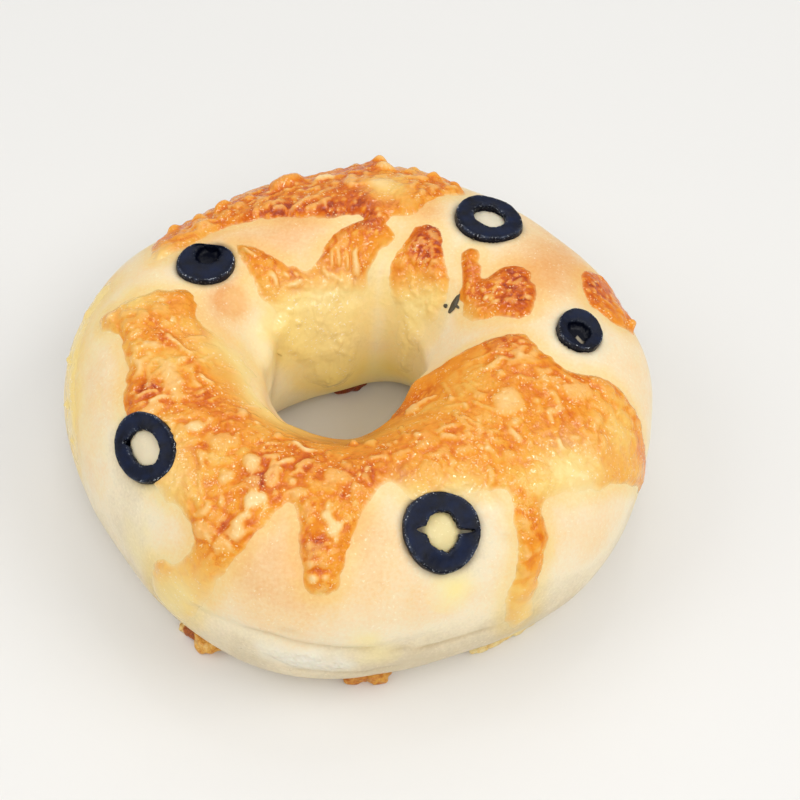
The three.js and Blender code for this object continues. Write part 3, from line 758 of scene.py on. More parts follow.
# A patch has its film's thickness and how toasted it is as a whole, 0 to 1; its outline of places; large
# curds, each with its place, length, width, height, turn and paleness; toasted and thin yellow spots, each
# with its place, radius and amount; and knobs, each with its place and height. "calm" is where over the
# ring its relief begins to settle, and "plates" how much of the half melted plates it has.
cheese_patches = {
    "cheese_front": {
        "film": 0.55,
        "toast": 0.43,
        "calm": 100,
        "outline": [
            (160, 99), (163, 84), (168, 66), (172, 54), (176, 58), (181, 71), (190, 71), (201, 59),
            (214, 50), (226, 46), (231, 49), (236, 41), (235, 29), (229, 17), (227, 0), (227, -14),
            (232, -20), (237, -12), (242, 8), (246, 38), (250, 62), (254, 78), (257.5, 70), (259, 52),
            (262.5, 35), (266, 36), (269.5, 56), (273, 75), (280, 87), (285, 76), (297, 70), (307, 63),
            (305, 46), (303, 30), (299.5, 12), (299.5, -4), (302, -14), (306, -8), (306.5, 6), (309, 20),
            (311.5, 34), (314.5, 49), (321, 41), (331, 26), (338, 3), (341, -5), (345, 12), (349, 42),
            (350.5, 64), (348.5, 75), (353, 87), (361, 96), (362, 112), (357, 131), (349, 148),
            (332, 157), (310, 156), (290, 152), (270, 155), (250, 154), (232, 151), (217, 137),
            (205, 139), (190, 150), (178, 142), (175, 127), (172, 113),
        ],
        "curds": [
            (173.5, 66, 2.4, 1.9, 0.9, 168, 0.8), (174, 59.5, 1.2, 1.1, 0.6, 158, 0.8),
            (176.5, 67, 1.6, 1.6, 0.7, 76, 0.5), (168, 71.5, 2, 1, 0.5, 20, 0.6),
            (167.5, 78.5, 1.1, 0.8, 0.4, 26, 0.5), (164.5, 81, 0.9, 0.8, 0.5, 28, 0.7),
            (174.5, 83, 4.1, 3.2, 0.6, 0, 0.4), (171.5, 91, 3.5, 3.2, 0.5, 100, 0.4),
            (177, 93.5, 2.4, 2.4, 0.5, 97, 0.5), (186.5, 98.8, 6.8, 0.9, 0.9, 32, 0.8),
            (180, 82, 1.4, 0.9, 0.6, 0, 0.7), (183, 83, 1.4, 0.9, 0.6, 0, 0.7),
            (185.5, 84.5, 1.3, 1, 0.6, 0, 0.7), (186, 88.5, 1.3, 0.9, 0.7, 0, 0.9),
            (188.5, 85.5, 1.3, 0.8, 0.6, 157, 0.8), (191, 86, 1, 0.8, 0.5, 158, 0.7),
            (192.5, 78.8, 3.7, 1, 0.7, 176, 0.8), (200.2, 89, 10.5, 3.8, 0.6, 165, 0.65),
            (201, 75.8, 4, 0.8, 0.8, 78, 0.8), (204.5, 78.8, 3.5, 0.9, 0.8, 75, 0.9),
            (182, 108.2, 4, 1, 0.6, 109, 0.6), (191, 113.2, 3.1, 0.6, 0.5, 123, 0.7),
            (202.8, 104, 3.3, 1, 0.7, 16, 0.8), (198, 99, 1.2, 0.8, 0.5, 154, 0.8),
            (204, 98, 1.8, 0.8, 0.5, 151, 0.7), (186.5, 115.5, 4.7, 3.3, 0.5, 107, 0.3),
            (220, 100.5, 0.9, 0.8, 0.5, 54, 0.8), (223, 107, 2.8, 1.8, 0.9, 139, 0.7),
            (219, 84.5, 3.6, 2.7, 0.8, 46, 0.8), (329, 91.5, 7.2, 6.2, 0.7, 30, 0.72),
            (349, 95, 2, 1.6, 0.7, 60, 0.8), (353, 90.5, 2.6, 1, 0.6, 20, 0.7),
            (345, 104, 4.6, 1.7, 0.6, 150, 0.7), (340, 100, 2.2, 1.4, 0.6, 30, 0.6),
            (346.5, 96.5, 3, 1.2, 0.5, 100, 0.5), (338, 78, 3, 1.2, 0.6, 60, 0.6),
            (334, 83, 1.6, 1.2, 0.5, 0, 0.7), (345, 74, 3.4, 1.4, 0.5, 80, 0.5),
            (342, 84.5, 1.7, 1.7, 0.7, 111, 0.8), (341, 89.5, 0.9, 0.8, 0.5, 26, 0.7),
            (345.5, 83.5, 1, 0.8, 0.5, 25, 0.7), (342, 70, 5.8, 3.9, 0.6, 120, 0.6),
            (331.8, 75.5, 3.1, 1, 0.7, 36, 0.8), (333.5, 74.2, 2.2, 0.8, 0.6, 8, 0.8),
            (320.5, 81, 3.4, 1.2, 0.7, 73, 0.8), (323, 83.5, 0.9, 0.8, 0.5, 144, 0.6),
            (326.2, 64.8, 3.1, 1.4, 0.8, 50, 1), (325, 70, 0.9, 0.8, 0.5, 140, 0.7),
            (330, 60.5, 2.4, 1.3, 0.6, 132, 0.7), (332.2, 52.8, 2.2, 0.4, 0.5, 134, 0.9),
            (321, 113, 1.6, 0.9, 0.6, 40, 0.8), (325, 109.5, 1, 0.8, 0.5, 19, 0.7),
            (320, 104, 1.7, 0.8, 0.6, 37, 0.9), (326.5, 102, 2.2, 2, 0.5, 29, 0.5),
            (307.5, 101, 3.7, 1, 0.6, 153, 0.7), (305, 96, 3, 1.8, 0.7, 140, 0.7),
            (310, 92, 2.2, 0.9, 0.5, 138, 0.6), (317.5, 87.5, 1.9, 0.8, 0.5, 141, 0.6),
            (311.5, 84, 1.5, 1.3, 0.7, 46, 1), (306.5, 72, 4.4, 1, 0.6, 52, 0.7),
            (305.5, 74, 0.9, 0.8, 0.4, 66, 0.6), (324.5, 47.5, 4.2, 3.9, 0.5, 136, 0.9),
            (309.5, 132, 4.3, 3.8, 0.7, 94, 0.7), (287, 107, 1.4, 1.4, 0.6, 57, 0.7),
            (295.5, 105, 1.9, 1.5, 0.6, 150, 0.8), (279.5, 100.2, 3.7, 1, 0.6, 160, 0.7),
            (288, 98.8, 3.3, 0.8, 0.6, 176, 0.7), (286.5, 90.5, 1.9, 1.2, 0.8, 73, 0.5),
            (285, 85.5, 1.3, 1.1, 0.6, 161, 0.5), (291.5, 87.5, 3.1, 2.9, 0.5, 67, 0.4),
            (271, 120.5, 2.6, 1.8, 0.9, 88, 0.5), (278.5, 115.5, 2.6, 2.5, 0.7, 152, 0.5),
            (271, 88, 0.9, 0.9, 0.6, 0, 0.7), (271, 79.5, 1, 0.8, 0.5, 0, 0.7),
            (304, 101.5, 1.6, 1.1, 0.6, 140, 0.7), (309, 100, 1.3, 1.1, 0.6, 140, 0.8),
            (240, 89, 4.7, 4, 0.9, 122, 0.8), (228, 88, 5.2, 4.9, 0.5, 46, 0.5),
            (232, 82, 5, 2.7, 0.5, 39, 0.4), (236.5, 78, 3.7, 2.1, 0.6, 33, 0.7),
            (244, 95.8, 3.3, 1.2, 0.7, 40, 0.7), (249, 96.8, 3.3, 1.2, 0.7, 40, 0.8),
            (246.5, 89.5, 1.5, 1.3, 0.7, 113, 0.7), (248.5, 91.5, 1.4, 1.3, 0.7, 30, 0.6),
            (253.8, 92.8, 2.4, 0.8, 0.6, 24, 0.7), (253.5, 88, 1.8, 1.6, 0.9, 106, 0.8),
            (258, 89.5, 0.9, 0.8, 0.5, 90, 0.8), (248, 83.5, 1.5, 0.8, 0.5, 25, 0.7),
            (246, 75, 5.1, 2.6, 0.8, 24, 1), (250, 81.5, 1.1, 0.9, 0.6, 21, 0.7),
            (249.5, 73.5, 1.3, 1.2, 0.6, 106, 0.8), (255, 82, 1.4, 0.8, 0.6, 17, 0.8),
            (251.3, 108.8, 5.1, 1.4, 0.7, 160, 1), (241.5, 103, 3.1, 0.4, 0.5, 42, 1),
            (240.5, 110.5, 2.3, 2.1, 0.7, 139, 0.6), (220.5, 119, 3.5, 0.8, 0.6, 72, 0.9),
            (229, 75.2, 2.4, 0.8, 0.6, 148, 0.8), (232, 66.8, 4.5, 0.8, 0.6, 143, 0.6),
            (236.8, 60.2, 3.4, 1.6, 0.6, 102, 0.8), (239, 67, 1.4, 1.3, 0.6, 122, 0.8),
            (245.2, 61.5, 6.5, 2.4, 0.7, 85, 0.8), (248.5, 63, 4.6, 0.7, 0.7, 53, 0.7),
            (239.8, 49.5, 2.5, 1.1, 0.6, 152, 0.9), (244.8, 49.8, 2.3, 0.8, 0.6, 146, 0.9),
            (242, 47, 1.6, 1.5, 0.5, 122, 0.5), (265.5, 93, 6.4, 4.2, 0.5, 0, 0.5),
            (270.5, 87.5, 1.2, 0.9, 0.6, 0, 0.8), (279, 90, 2.9, 1.2, 0.6, 0, 0.7),
            (274, 90, 1.1, 0.9, 0.5, 90, 0.5), (275.2, 86, 2.3, 0.6, 0.5, 28, 0.7),
            (270.5, 79.5, 0.9, 0.8, 0.5, 0, 1), (272.5, 78.5, 1, 0.8, 0.4, 90, 0.7),
            (264, 79, 1.7, 1.4, 0.7, 90, 0.9), (265, 71.5, 5.1, 2.2, 0.7, 120, 0.9),
            (266.5, 63, 1.4, 0.8, 0.6, 90, 0.8), (261, 50.5, 2.3, 2.1, 0.9, 5, 1),
            (265, 51, 0.9, 0.8, 0.6, 0, 0.7), (268.5, 50.5, 1.3, 1, 0.6, 172, 0.8),
            (264.5, 55, 1.2, 0.8, 0.5, 0, 0.6), (265, 61.5, 1.2, 0.8, 0.5, 90, 0.6),
            (265.5, 58, 0.9, 0.8, 0.5, 90, 0.7), (262, 45, 1.9, 1.7, 0.7, 6, 1),
            (264.5, 46, 1.4, 1.3, 0.6, 0, 0.9), (267, 44, 1.4, 1.3, 0.6, 0, 0.9),
            (264, 38.5, 2.1, 1.8, 0.7, 90, 1), (316, 128, 3, 2, 0.7, 140, 0.7),
            (312, 134, 1.6, 1.2, 0.5, 140, 0.8), (320, 124, 1.6, 1.2, 0.5, 140, 0.7),
        ],
        "toasted": [
            (182.5, 91, 2, 0.6), (176, 89, 1, 0.3), (200, 78.5, 2, 0.6), (197.5, 101.5, 1.6, 0.4),
            (210, 99, 1.6, 0.3), (178.5, 114, 1.2, 0.3), (225, 97, 4, 0.3), (336.5, 96.5, 3.2, 0.2),
            (338, 83.5, 3.2, 0.2), (244, 83, 1.8, 0.6), (224.5, 81.5, 1, 0.5), (229.5, 75.5, 0.8, 0.3),
            (234, 71.5, 1, 0.3), (255, 98, 3.2, 0.3), (276.5, 93.5, 4.4, 0.3), (303.5, 144, 1.6, 0.5),
            (286, 88, 1.6, 0.3), (267, 84.5, 1, 0.5), (259.5, 77, 1, 0.4), (260, 65.5, 2.8, 0.4),
            (263.5, 61, 1.2, 0.5), (268.5, 96.5, 1, 0.2), (241.5, 57.5, 2, 0.3), (246, 54.5, 1.2, 0.4),
            (249, 62, 1.6, 0.3), (251.5, 77, 1.8, 0.3), (246.5, 87, 2.8, 0.2), (324.5, 115, 1.6, 0.2),
            (319, 61, 1.2, 0.2), (316.5, 68, 1, 0.3), (310.5, 59.5, 0.8, 0.4), (187, 94.5, 2.4, 0.2),
            (193.5, 102, 1.2, 0.3), (190, 80, 12, -0.1), (300, 45, 8, -0.1), (358, 101, 5, 0.3),
            (350, 104, 4, 0.2), (342, 25, 3, 0.15), (310, 46, 3.5, 0.1), (345, 85, 4, 0.1),
            (199, 76, 3, 0.15), (182, 83, 4, -0.2), (173, 73, 4, -0.1), (241.5, 100, 3, 0.12),
            (292, 118, 4, -0.1), (231.5, 57, 3, 0.08), (330, 68, 4, 0.12), (309, 151, 2.6, 0.45),
            (299.5, 151, 2, 0.3), (321, 134, 3, 0.3), (261, 61, 2, 0.2), (262, 54, 1.8, 0.2),
            (316, 142, 3, 0.2), (240, 22, 4, 0.15), (304, 22, 4, -0.2), (303, 2, 6, -0.15),
            (241.5, 100, 3.6, 0.3), (330, 66, 3.6, 0.2), (338, 18, 5, -0.15), (148, 90, 3, 0.1),
            (337, 112, 6, -0.06), (345, 98, 2.5, 0.15),
        ],
        "yellow": [
            (178, 128, 4, 0.4), (181, 141, 4.5, 0.6), (190, 146, 5, 0.75), (200, 139, 5, 0.6),
            (213, 137, 4, 0.45), (242, 26, 4, 0.2), (237, 8, 7, 0.5), (232, -10, 7, 0.85),
            (323, 50, 6.5, 0.8), (303, 0, 6, 0.3), (302.5, -11, 4, 0.4), (216, 62, 5, 0.5),
            (226, 55, 5, 0.4), (285, 79, 4.5, 0.5), (298, 72, 4, 0.6), (168, 74, 4, 0.4),
            (220, 126, 5, 0.45), (240, 140, 6, 0.3), (264, 38, 2, 0.2), (238, 14, 5, 0.2),
            (182, 120, 5, 0.35), (338, 40, 4, 0.3), (175, 60, 3, 0.3),
        ],
    },
    "cheese_back": {
        "film": 0.6,
        "toast": 0.5,
        "outline": [
            (61, 57), (59.5, 66), (65, 82), (68, 97), (76, 103), (72, 112), (77, 124), (80, 136),
            (80, 160), (82, 184), (92, 199), (110, 203), (126, 196), (142, 180), (152, 162), (153, 146),
            (144, 137), (144, 128), (140, 108), (134, 91), (128.5, 99), (122, 114), (115, 121),
            (107, 115), (97, 106), (86, 101.5), (98, 98), (110, 92), (124, 83), (135, 78), (148, 78),
            (153, 72), (148, 57), (140, 42), (132, 40), (125, 44), (119, 30), (114, 22), (109, 34),
            (100, 43), (90, 38), (84, 24), (79, 22), (74, 38), (67, 48),
        ],
        "curds": [
            (133.5, 101.5, 3.3, 0.8, 0.7, 101, 0.8), (121, 122.5, 1.3, 1.2, 0.9, 165, 0.9),
            (133, 121.8, 3.9, 1.8, 0.7, 80, 0.8), (124.3, 128, 3.4, 1.2, 0.7, 0, 0.9),
            (133.5, 141.5, 1.5, 1, 0.6, 160, 0.7), (132.5, 150, 1.5, 1.2, 0.6, 67, 0.8),
            (117.5, 137.5, 3.7, 0.6, 0.5, 148, 0.7), (117.5, 142.5, 1.2, 1.1, 0.6, 163, 0.8),
            (103.2, 128.8, 4.5, 1.2, 0.7, 138, 0.7), (101, 120.8, 3.4, 0.8, 0.7, 82, 0.7),
            (97.2, 121, 3.7, 0.9, 0.7, 86, 0.7), (93, 125.2, 2.7, 0.8, 0.7, 90, 0.7),
            (89, 126, 5.5, 1.6, 0.9, 96, 0.8), (96, 133.5, 1.9, 1.7, 0.7, 80, 0.7),
            (95.5, 138.5, 1.4, 1.2, 0.6, 166, 0.8), (103, 167, 1.7, 1.5, 0.6, 68, 0.9),
            (86.5, 168.5, 2, 1.7, 0.6, 163, 0.8), (107.5, 59.5, 8, 4, 1.4, 10, 0.35),
            (97.5, 66, 4.6, 2.6, 1, 10, 1), (138, 46, 3.6, 2.8, 1.3, 20, 0.4),
            (133, 57, 3.4, 2.6, 1.2, 40, 0.45), (126, 60, 3.6, 2.4, 1.2, 30, 0.35),
            (118.5, 62, 3, 2.4, 1.1, 0, 0.4), (70, 60, 3.4, 2.4, 1.1, 0, 0.4),
            (76, 52, 3, 2.2, 1.1, 20, 0.3), (64, 61, 2.4, 1.8, 0.9, 0, 0.4),
            (145, 48, 3, 2.4, 1.1, 0, 0.5), (90.5, 74.5, 6.6, 3.3, 0.7, 77, 0.6),
            (81.5, 80, 5.9, 5.5, 0.6, 4, 0.8), (83.5, 50, 3.6, 3, 1.3, 0, 0.75),
            (107.8, 85.8, 5, 1.4, 0.8, 24, 0.6), (101.3, 89, 5.9, 1.4, 0.8, 12, 0.6),
            (101.5, 84, 1.8, 1.3, 0.6, 152, 0.6), (89, 92, 0.9, 0.9, 0.6, 90, 0.9),
            (95, 94.5, 0.9, 0.8, 0.6, 69, 0.8), (113, 62.5, 1.6, 0.9, 0.5, 133, 0.9),
            (108.5, 68.5, 1.8, 1.3, 0.5, 143, 0.9), (105, 74.5, 1.6, 1.2, 0.5, 152, 0.8),
            (116.5, 71, 2.7, 2.7, 0.8, 139, 0.5), (122.5, 67.5, 3.9, 3.2, 0.9, 41, 0.3),
            (128, 69.5, 3.4, 2.7, 0.8, 40, 0.3), (134.5, 65, 4.5, 2.9, 0.9, 22, 0.4),
            (141.5, 68.5, 3.4, 2.8, 0.7, 15, 0.3), (115, 76.5, 2, 1.8, 0.6, 146, 0.5),
            (72, 69, 3, 2, 0.7, 0, 0.6), (63.5, 66, 2, 1.6, 0.5, 0, 0.7), (76, 58, 3.4, 2.4, 0.8, 0, 0.4),
            (81.5, 59, 4, 2.6, 0.9, 20, 0.7),
        ],
        "toasted": [
            (128.5, 99, 1.6, 0.3), (125, 107, 1.6, 0.5), (121.5, 115.5, 1.4, 0.4), (123.5, 122, 0.8, 0.6),
            (121, 126.5, 0.8, 0.6), (105.5, 115.5, 1.4, 0.6), (101, 125, 1.2, 0.4), (85, 129, 1.2, 0.5),
            (89.5, 135, 1, 0.4), (126.5, 133, 1.6, 0.3), (107.5, 87.5, 2.8, 0.4), (98, 94, 2.8, 0.5),
            (89, 88, 2.4, 0.3), (84, 92.5, 2.8, 0.3), (86, 59.5, 1.8, 0.3), (114.5, 86.5, 2.4, 0.4),
            (124, 82.5, 2.4, 0.4), (131.5, 79.5, 2, 0.3), (102, 74, 1.2, 0.3), (77.5, 93, 2, 0.3),
            (62, 100, 1.8, 0.3), (65, 108.5, 1.6, 0.3), (72.5, 102.5, 2, 0.2), (82.5, 107, 1.8, 0.3),
            (110, 72, 5, 0.15), (98, 78, 5, 0.15), (90, 58, 5, 0.15), (134, 91, 2.5, 0.15),
            (88, 101, 3.5, 0.3), (80, 104, 3, 0.25), (94, 106, 3, 0.15), (90, 118, 4, -0.1),
            (82, 57, 2.5, -0.2), (107, 60, 4, -0.12), (123, 80, 3, 0.12), (111, 86.5, 3, 0.1),
            (97.5, 90.5, 3, 0.1), (86, 92, 3, 0.1),
        ],
        "yellow": [
            (130, 153, 6.5, 0.8), (120, 165, 8, 0.9), (105, 178, 10, 1), (90, 185, 9, 1),
            (140, 160, 7, 0.9), (85, 165, 6, 0.8), (110, 190, 8, 1), (80.5, 82.5, 4, 0.45),
            (152, 71, 4, 0.6), (95, 150, 6, 0.7), (113, 26, 5, 0.5), (80, 28, 5, 0.5),
        ],
        "knobs": [(84, 54, 1.6), (106, 58, 0.9), (126, 60, 0.5), (69, 58, 0.5)],
    },
    "cheese_hole": {
        "film": 0.55,
        "toast": 0.42,
        "outline": [
            (62, 99), (56.5, 100), (52, 108), (47, 117), (39.5, 124), (35.5, 132), (33.5, 144),
            (34.5, 157), (36, 170), (41, 183), (50, 193), (60, 192), (62, 178), (63, 160), (68, 148),
            (71.5, 136), (72, 126), (69.5, 118), (68.5, 109), (66.5, 103),
        ],
        "curds": [
            (58.5, 122.5, 1.5, 1.1, 0.5, 116, 0.5), (57.5, 114.5, 0.9, 0.8, 0.4, 116, 0.5),
            (57, 137, 1.3, 0.9, 0.5, 116, 0.5), (37, 146.8, 4.5, 1.4, 0.6, 151, 0.6),
            (46, 149, 1.1, 1, 0.4, 116, 0.6), (48.5, 135.5, 3, 1.8, 0.4, 26, 0.3),
            (61.5, 136, 0.9, 0.9, 0.4, 10, 0.5), (48, 166.5, 1.8, 1.4, 0.5, 32, 0.7),
            (17.5, 146, 2.3, 0.8, 0.5, 49, 0.7), (36, 165, 1.9, 1, 0.4, 44, 0.6),
        ],
        "toasted": [(60, 107, 4.4, 1), (57, 117, 3, 0.4), (44, 124, 3, 0.2)],
        "yellow": [
            (52, 154, 5, 0.5), (50, 168, 7, 0.9), (52, 182, 8, 1), (60, 168, 6, 0.8), (42, 140, 4, 0.3),
        ],
    },
    "cheese_right": {
        "film": 0.55,
        "plates": 0.15,
        "toast": 0.66,
        "outline": [
            (7, 101), (10.5, 108.5), (12.5, 117), (15, 125.5), (21, 130.5), (30.5, 128), (37.5, 120),
            (44, 113), (46.5, 105), (45, 99.5), (41.5, 98.5), (37, 102.5), (31.5, 107.5), (32, 98),
            (30.5, 91.5), (27, 87.5), (22.5, 88), (17, 88.5), (11.5, 91.5), (7.5, 95),
        ],
        "curds": [
            (16, 103, 1.6, 1.3, 0.5, 20, 0.6), (22, 113, 1.4, 1.1, 0.5, 100, 0.9),
            (27, 122, 1.8, 0.9, 0.5, 140, 0.6), (33, 115, 1.6, 0.9, 0.5, 20, 0.5),
        ],
        "toasted": [(19, 103, 7, 0.2), (38, 108, 5, -0.12), (31, 120, 5, -0.05)],
        "yellow": [(20, 127, 2.5, 0.3)],
    },
    "cheese_right_flank": {
        "film": 0.5,
        "plates": 0.15,
        "toast": 0.58,
        "outline": [
            (13.5, 66.5), (21, 62), (24, 50), (23.5, 34), (19, 29), (13, 26), (8.5, 30), (7, 38.5),
            (7, 49.5), (9.5, 60),
        ],
        "curds": [(9.5, 36, 2.4, 1.6, 1, 70, 0.5), (12, 44, 1.8, 1, 0.6, 20, 0.5)],
        "toasted": [(17, 58, 4, 0.2)],
        "knobs": [(12, 37, 0.8)],
    },
    "cheese_left_flank": {
        "film": 0.16,
        "toast": 0.06,
        "outline": [
            (160, 51), (168, 48), (179, 39), (189, 29), (194, 14), (193, -8), (187, -12), (181, 2),
            (174, 12), (164, 24), (156, 38),
        ],
        "curds": [
            (166, 36, 4, 3, 0.5, 20, 0.6), (158.5, 31, 3, 2, 1.5, 60, 0.5),
            (163, 27.5, 2, 1.3, 1.6, 0, 0.4), (176, 24, 2.4, 1.6, 0.9, 60, 0.5),
            (184, 12, 2.4, 1.6, 0.9, 30, 0.5), (190, 2, 2, 1.4, 0.8, 30, 0.5),
        ],
        "toasted": [(162, 29.5, 1.2, 0.3), (189, -4, 2, 0.3)],
        "yellow": [(175, 25, 30, 1), (162, 29.5, 1.5, -0.6), (189, -4, 2, -0.5), (159, 33, 2, -0.3)],
    },
}

# The cheese is full of half melted plates and grains
plate_size = 3.8
plate_height = 0.55
grain_size = 1.9
grain_height = 0.4
toasted_grain_size = 1.1
toasted_grain_height = 0.3

# Loose shreds lie on top. Kinds of shred: number in a square centimetre, and length, width, height and
# paleness from-to
shred_kinds = [
    (3, (3, 6), (0.6, 1.2), (0.25, 0.5), (0.15, 0.6)),
    (6, (0.9, 2), (0.7, 1.5), (0.25, 0.5), (0.3, 0.9)),
]
shred_flatness = 0.7
curd_flatness = 0.6

# Where and how much its relief settles, and how its spots and edges are toasted
usual_calm_from = 118
calm_span = 28
calmness = 0.87
wrinkle_height = 0.05
knob_radius = 3.2
edge_toast = 0.12
spot_toast = 0.7
yellow_cools = 0.35
crisp_cools = 0.32

melted_yellow = srgb(242, 202, 112)
melted_gold = srgb(240, 176, 76)
melted_orange = srgb(236, 148, 44)
deep_orange = srgb(219, 114, 18)
browned_red = srgb(200, 88, 10)
browned_dark = srgb(162, 60, 8)
curd_peach = srgb(246, 186, 106)
curd_cream = srgb(248, 212, 148)
clear_yellow = srgb(246, 222, 134)


def swirled(points, amount, size, seed):
    """Points pushed about, so that what is laid out on them has uneven outlines."""
    return points + amount * np.stack([noise(points, size, seed + axis) for axis in range(3)], -1)


def cells(points, size, seed):
    """Uneven cells about one size across: how far in mm each point is from the edge of its cell, and a
    random share from 0 to 1 that is the same all over a cell."""
    count = 24
    rng = np.random.default_rng(seed)
    middles = rng.uniform(0.05, 0.95, (count, count, count, 3))
    shares = rng.uniform(0, 1, (count, count, count))
    scaled = points / size
    low = np.floor(scaled).astype(int)
    nearest = np.full(len(points), 9.0)
    second, share = nearest.copy(), nearest.copy()
    for step in np.ndindex(3, 3, 3):
        cell = low + step - 1
        place = tuple((cell % count).T)
        apart = np.linalg.norm(scaled - cell - middles[place], axis=1)
        closer = apart < nearest
        second = np.where(closer, nearest, np.minimum(second, apart))
        share = np.where(closer, shares[place], share)
        nearest = np.where(closer, apart, nearest)
    return (second - nearest) * size / 2, share


def is_inside(outline, around, over):
    """Whether places lie within an outline: it is crossed an odd number of times on the way out."""
    inside = np.zeros(around.shape, bool)
    for a, b in zip(outline, np.roll(outline, -1, 0)):
        spans = (a[1] > over) != (b[1] > over)
        if a[1] != b[1]:
            inside ^= spans & (around < a[0] + (b[0] - a[0]) * (over - a[1]) / (b[1] - a[1]))
    return inside


def distance_to_outline(outline, around, over, per_degree):
    """Distance in mm from places to an outline, from the ring's own mm per degree there."""
    nearest = np.full(around.shape, np.inf)
    for a, b in zip(outline, np.roll(outline, -1, 0)):
        run = [(b[k] - a[k]) * per_degree[k] for k in (0, 1)]
        apart = [(around - a[0]) * per_degree[0], (over - a[1]) * per_degree[1]]
        length = np.maximum(run[0] ** 2 + run[1] ** 2, 1e-9)
        share = np.clip((apart[0] * run[0] + apart[1] * run[1]) / length, 0, 1)
        nearest = np.minimum(nearest, np.hypot(apart[0] - share * run[0], apart[1] - share * run[1]))
    return nearest


def blur(grid, times):
    """A grid of values, each mixed with its neighbours that many times."""
    for _ in range(times):
        padded = np.pad(grid, 1, mode="edge")
        grid = (padded[:-2, 1:-1] + 2 * grid + padded[2:, 1:-1]) / 4
        padded = np.pad(grid, 1, mode="edge")
        grid = (padded[1:-1, :-2] + 2 * grid + padded[1:-1, 2:]) / 4
    return grid


def lay_piece(sheet, spot, sizes, turn, pale, flatness, rng):
    """Lays one shred or curd on the sheet: an uneven dome over a short bent line."""
    length, width, rise = sizes
    row = np.argmin(np.abs(sheet["over"][:, 0] - spot[1]))
    column = np.argmin(np.abs(sheet["around"][0] - spot[0]))
    mm_around, mm_over = [per[row, column] for per in sheet["per_degree"]]
    reach = length / 2 + width / 2
    columns = int(reach / (mm_around * cell_around)) + 2
    rows = int(reach / (mm_over * cell_over)) + 2
    window = (
        slice(max(0, row - rows), row + rows + 1),
        slice(max(0, column - columns), column + columns + 1),
    )
    dx = (sheet["around"][window] - spot[0]) * mm_around
    dy = (sheet["over"][window] - spot[1]) * mm_over
    angle = math.radians(turn)
    stray = min(0.3 * width, 0.7)
    dx = dx + stray * sheet["sway"][0][window]
    dy = dy + stray * sheet["sway"][1][window]
    u = dx * math.cos(angle) + dy * math.sin(angle)
    v = dy * math.cos(angle) - dx * math.sin(angle) + rng.uniform(-0.2, 0.2) * u * u / max(length, 1)
    spine = max(0.0, (length - width) / 2)
    away = np.hypot(np.maximum(np.abs(u) - spine, 0), v) / (width / 2) * (1 + 0.2 * sheet["lumps"][window])
    dome = np.clip(1 - away**2, 0, 1) ** flatness
    height = sheet["height"][window]
    raised = dome * rise + 0.5 * height
    taller = (raised > height) & (dome > 0)
    sheet["height"][window] = np.where(taller, raised, height)
    paler = np.maximum(pale * dome**0.6, sheet["pale"][window])
    sheet["pale"][window] = np.where(taller, paler, sheet["pale"][window])


def patch_grid(patch):
    """A grid of places over a patch: around, over, the ring's mm to a degree of both, and how deep within
    the outline each lies, less than nothing outside it."""
    outline = smooth_path(patch["outline"], 5)
    low, high = outline.min(0) - margin, outline.max(0) + margin
    columns = math.ceil((high[0] - low[0]) / cell_around)
    rows = math.ceil((high[1] - low[1]) / cell_over)
    over, around = np.meshgrid(
        low[1] + np.arange(rows + 1) * cell_over, low[0] + np.arange(columns + 1) * cell_around, indexing="ij"
    )
    per_degree = [
        np.linalg.norm(plain_points(around + 0.5, over) - plain_points(around - 0.5, over), axis=-1),
        np.linalg.norm(plain_points(around, over + 0.5) - plain_points(around, over - 0.5), axis=-1),
    ]
    per_degree[1] = np.maximum(blur(per_degree[1], 3), 0.05)
    side = np.where(is_inside(outline, around, over), 1, -1)
    return around, over, per_degree, distance_to_outline(outline, around, over, per_degree) * side


def lay_shreds_and_curds(sheet, patch, area, seed):
    """Strews shreds, so many to a square centimetre of area, and then lays the patch's large curds."""
    rng = np.random.default_rng(seed)
    for number, length, width, rise, pale in shred_kinds:
        chosen = rng.choice(area.size, int(number * area.sum() / 100), p=(area / area.sum()).ravel())
        for k in chosen:
            spot = (
                sheet["around"].flat[k] + rng.uniform(-0.5, 0.5) * cell_around,
                sheet["over"].flat[k] + rng.uniform(-0.5, 0.5) * cell_over,
            )
            sizes = [rng.uniform(*span) for span in (length, width, rise)]
            lay_piece(sheet, spot, sizes, rng.uniform(0, 180), rng.uniform(*pale), shred_flatness, rng)
    for around, over, length, width, rise, turn, pale in patch["curds"]:
        lay_piece(sheet, (around, over), (length, width, rise), turn, pale, curd_flatness, rng)


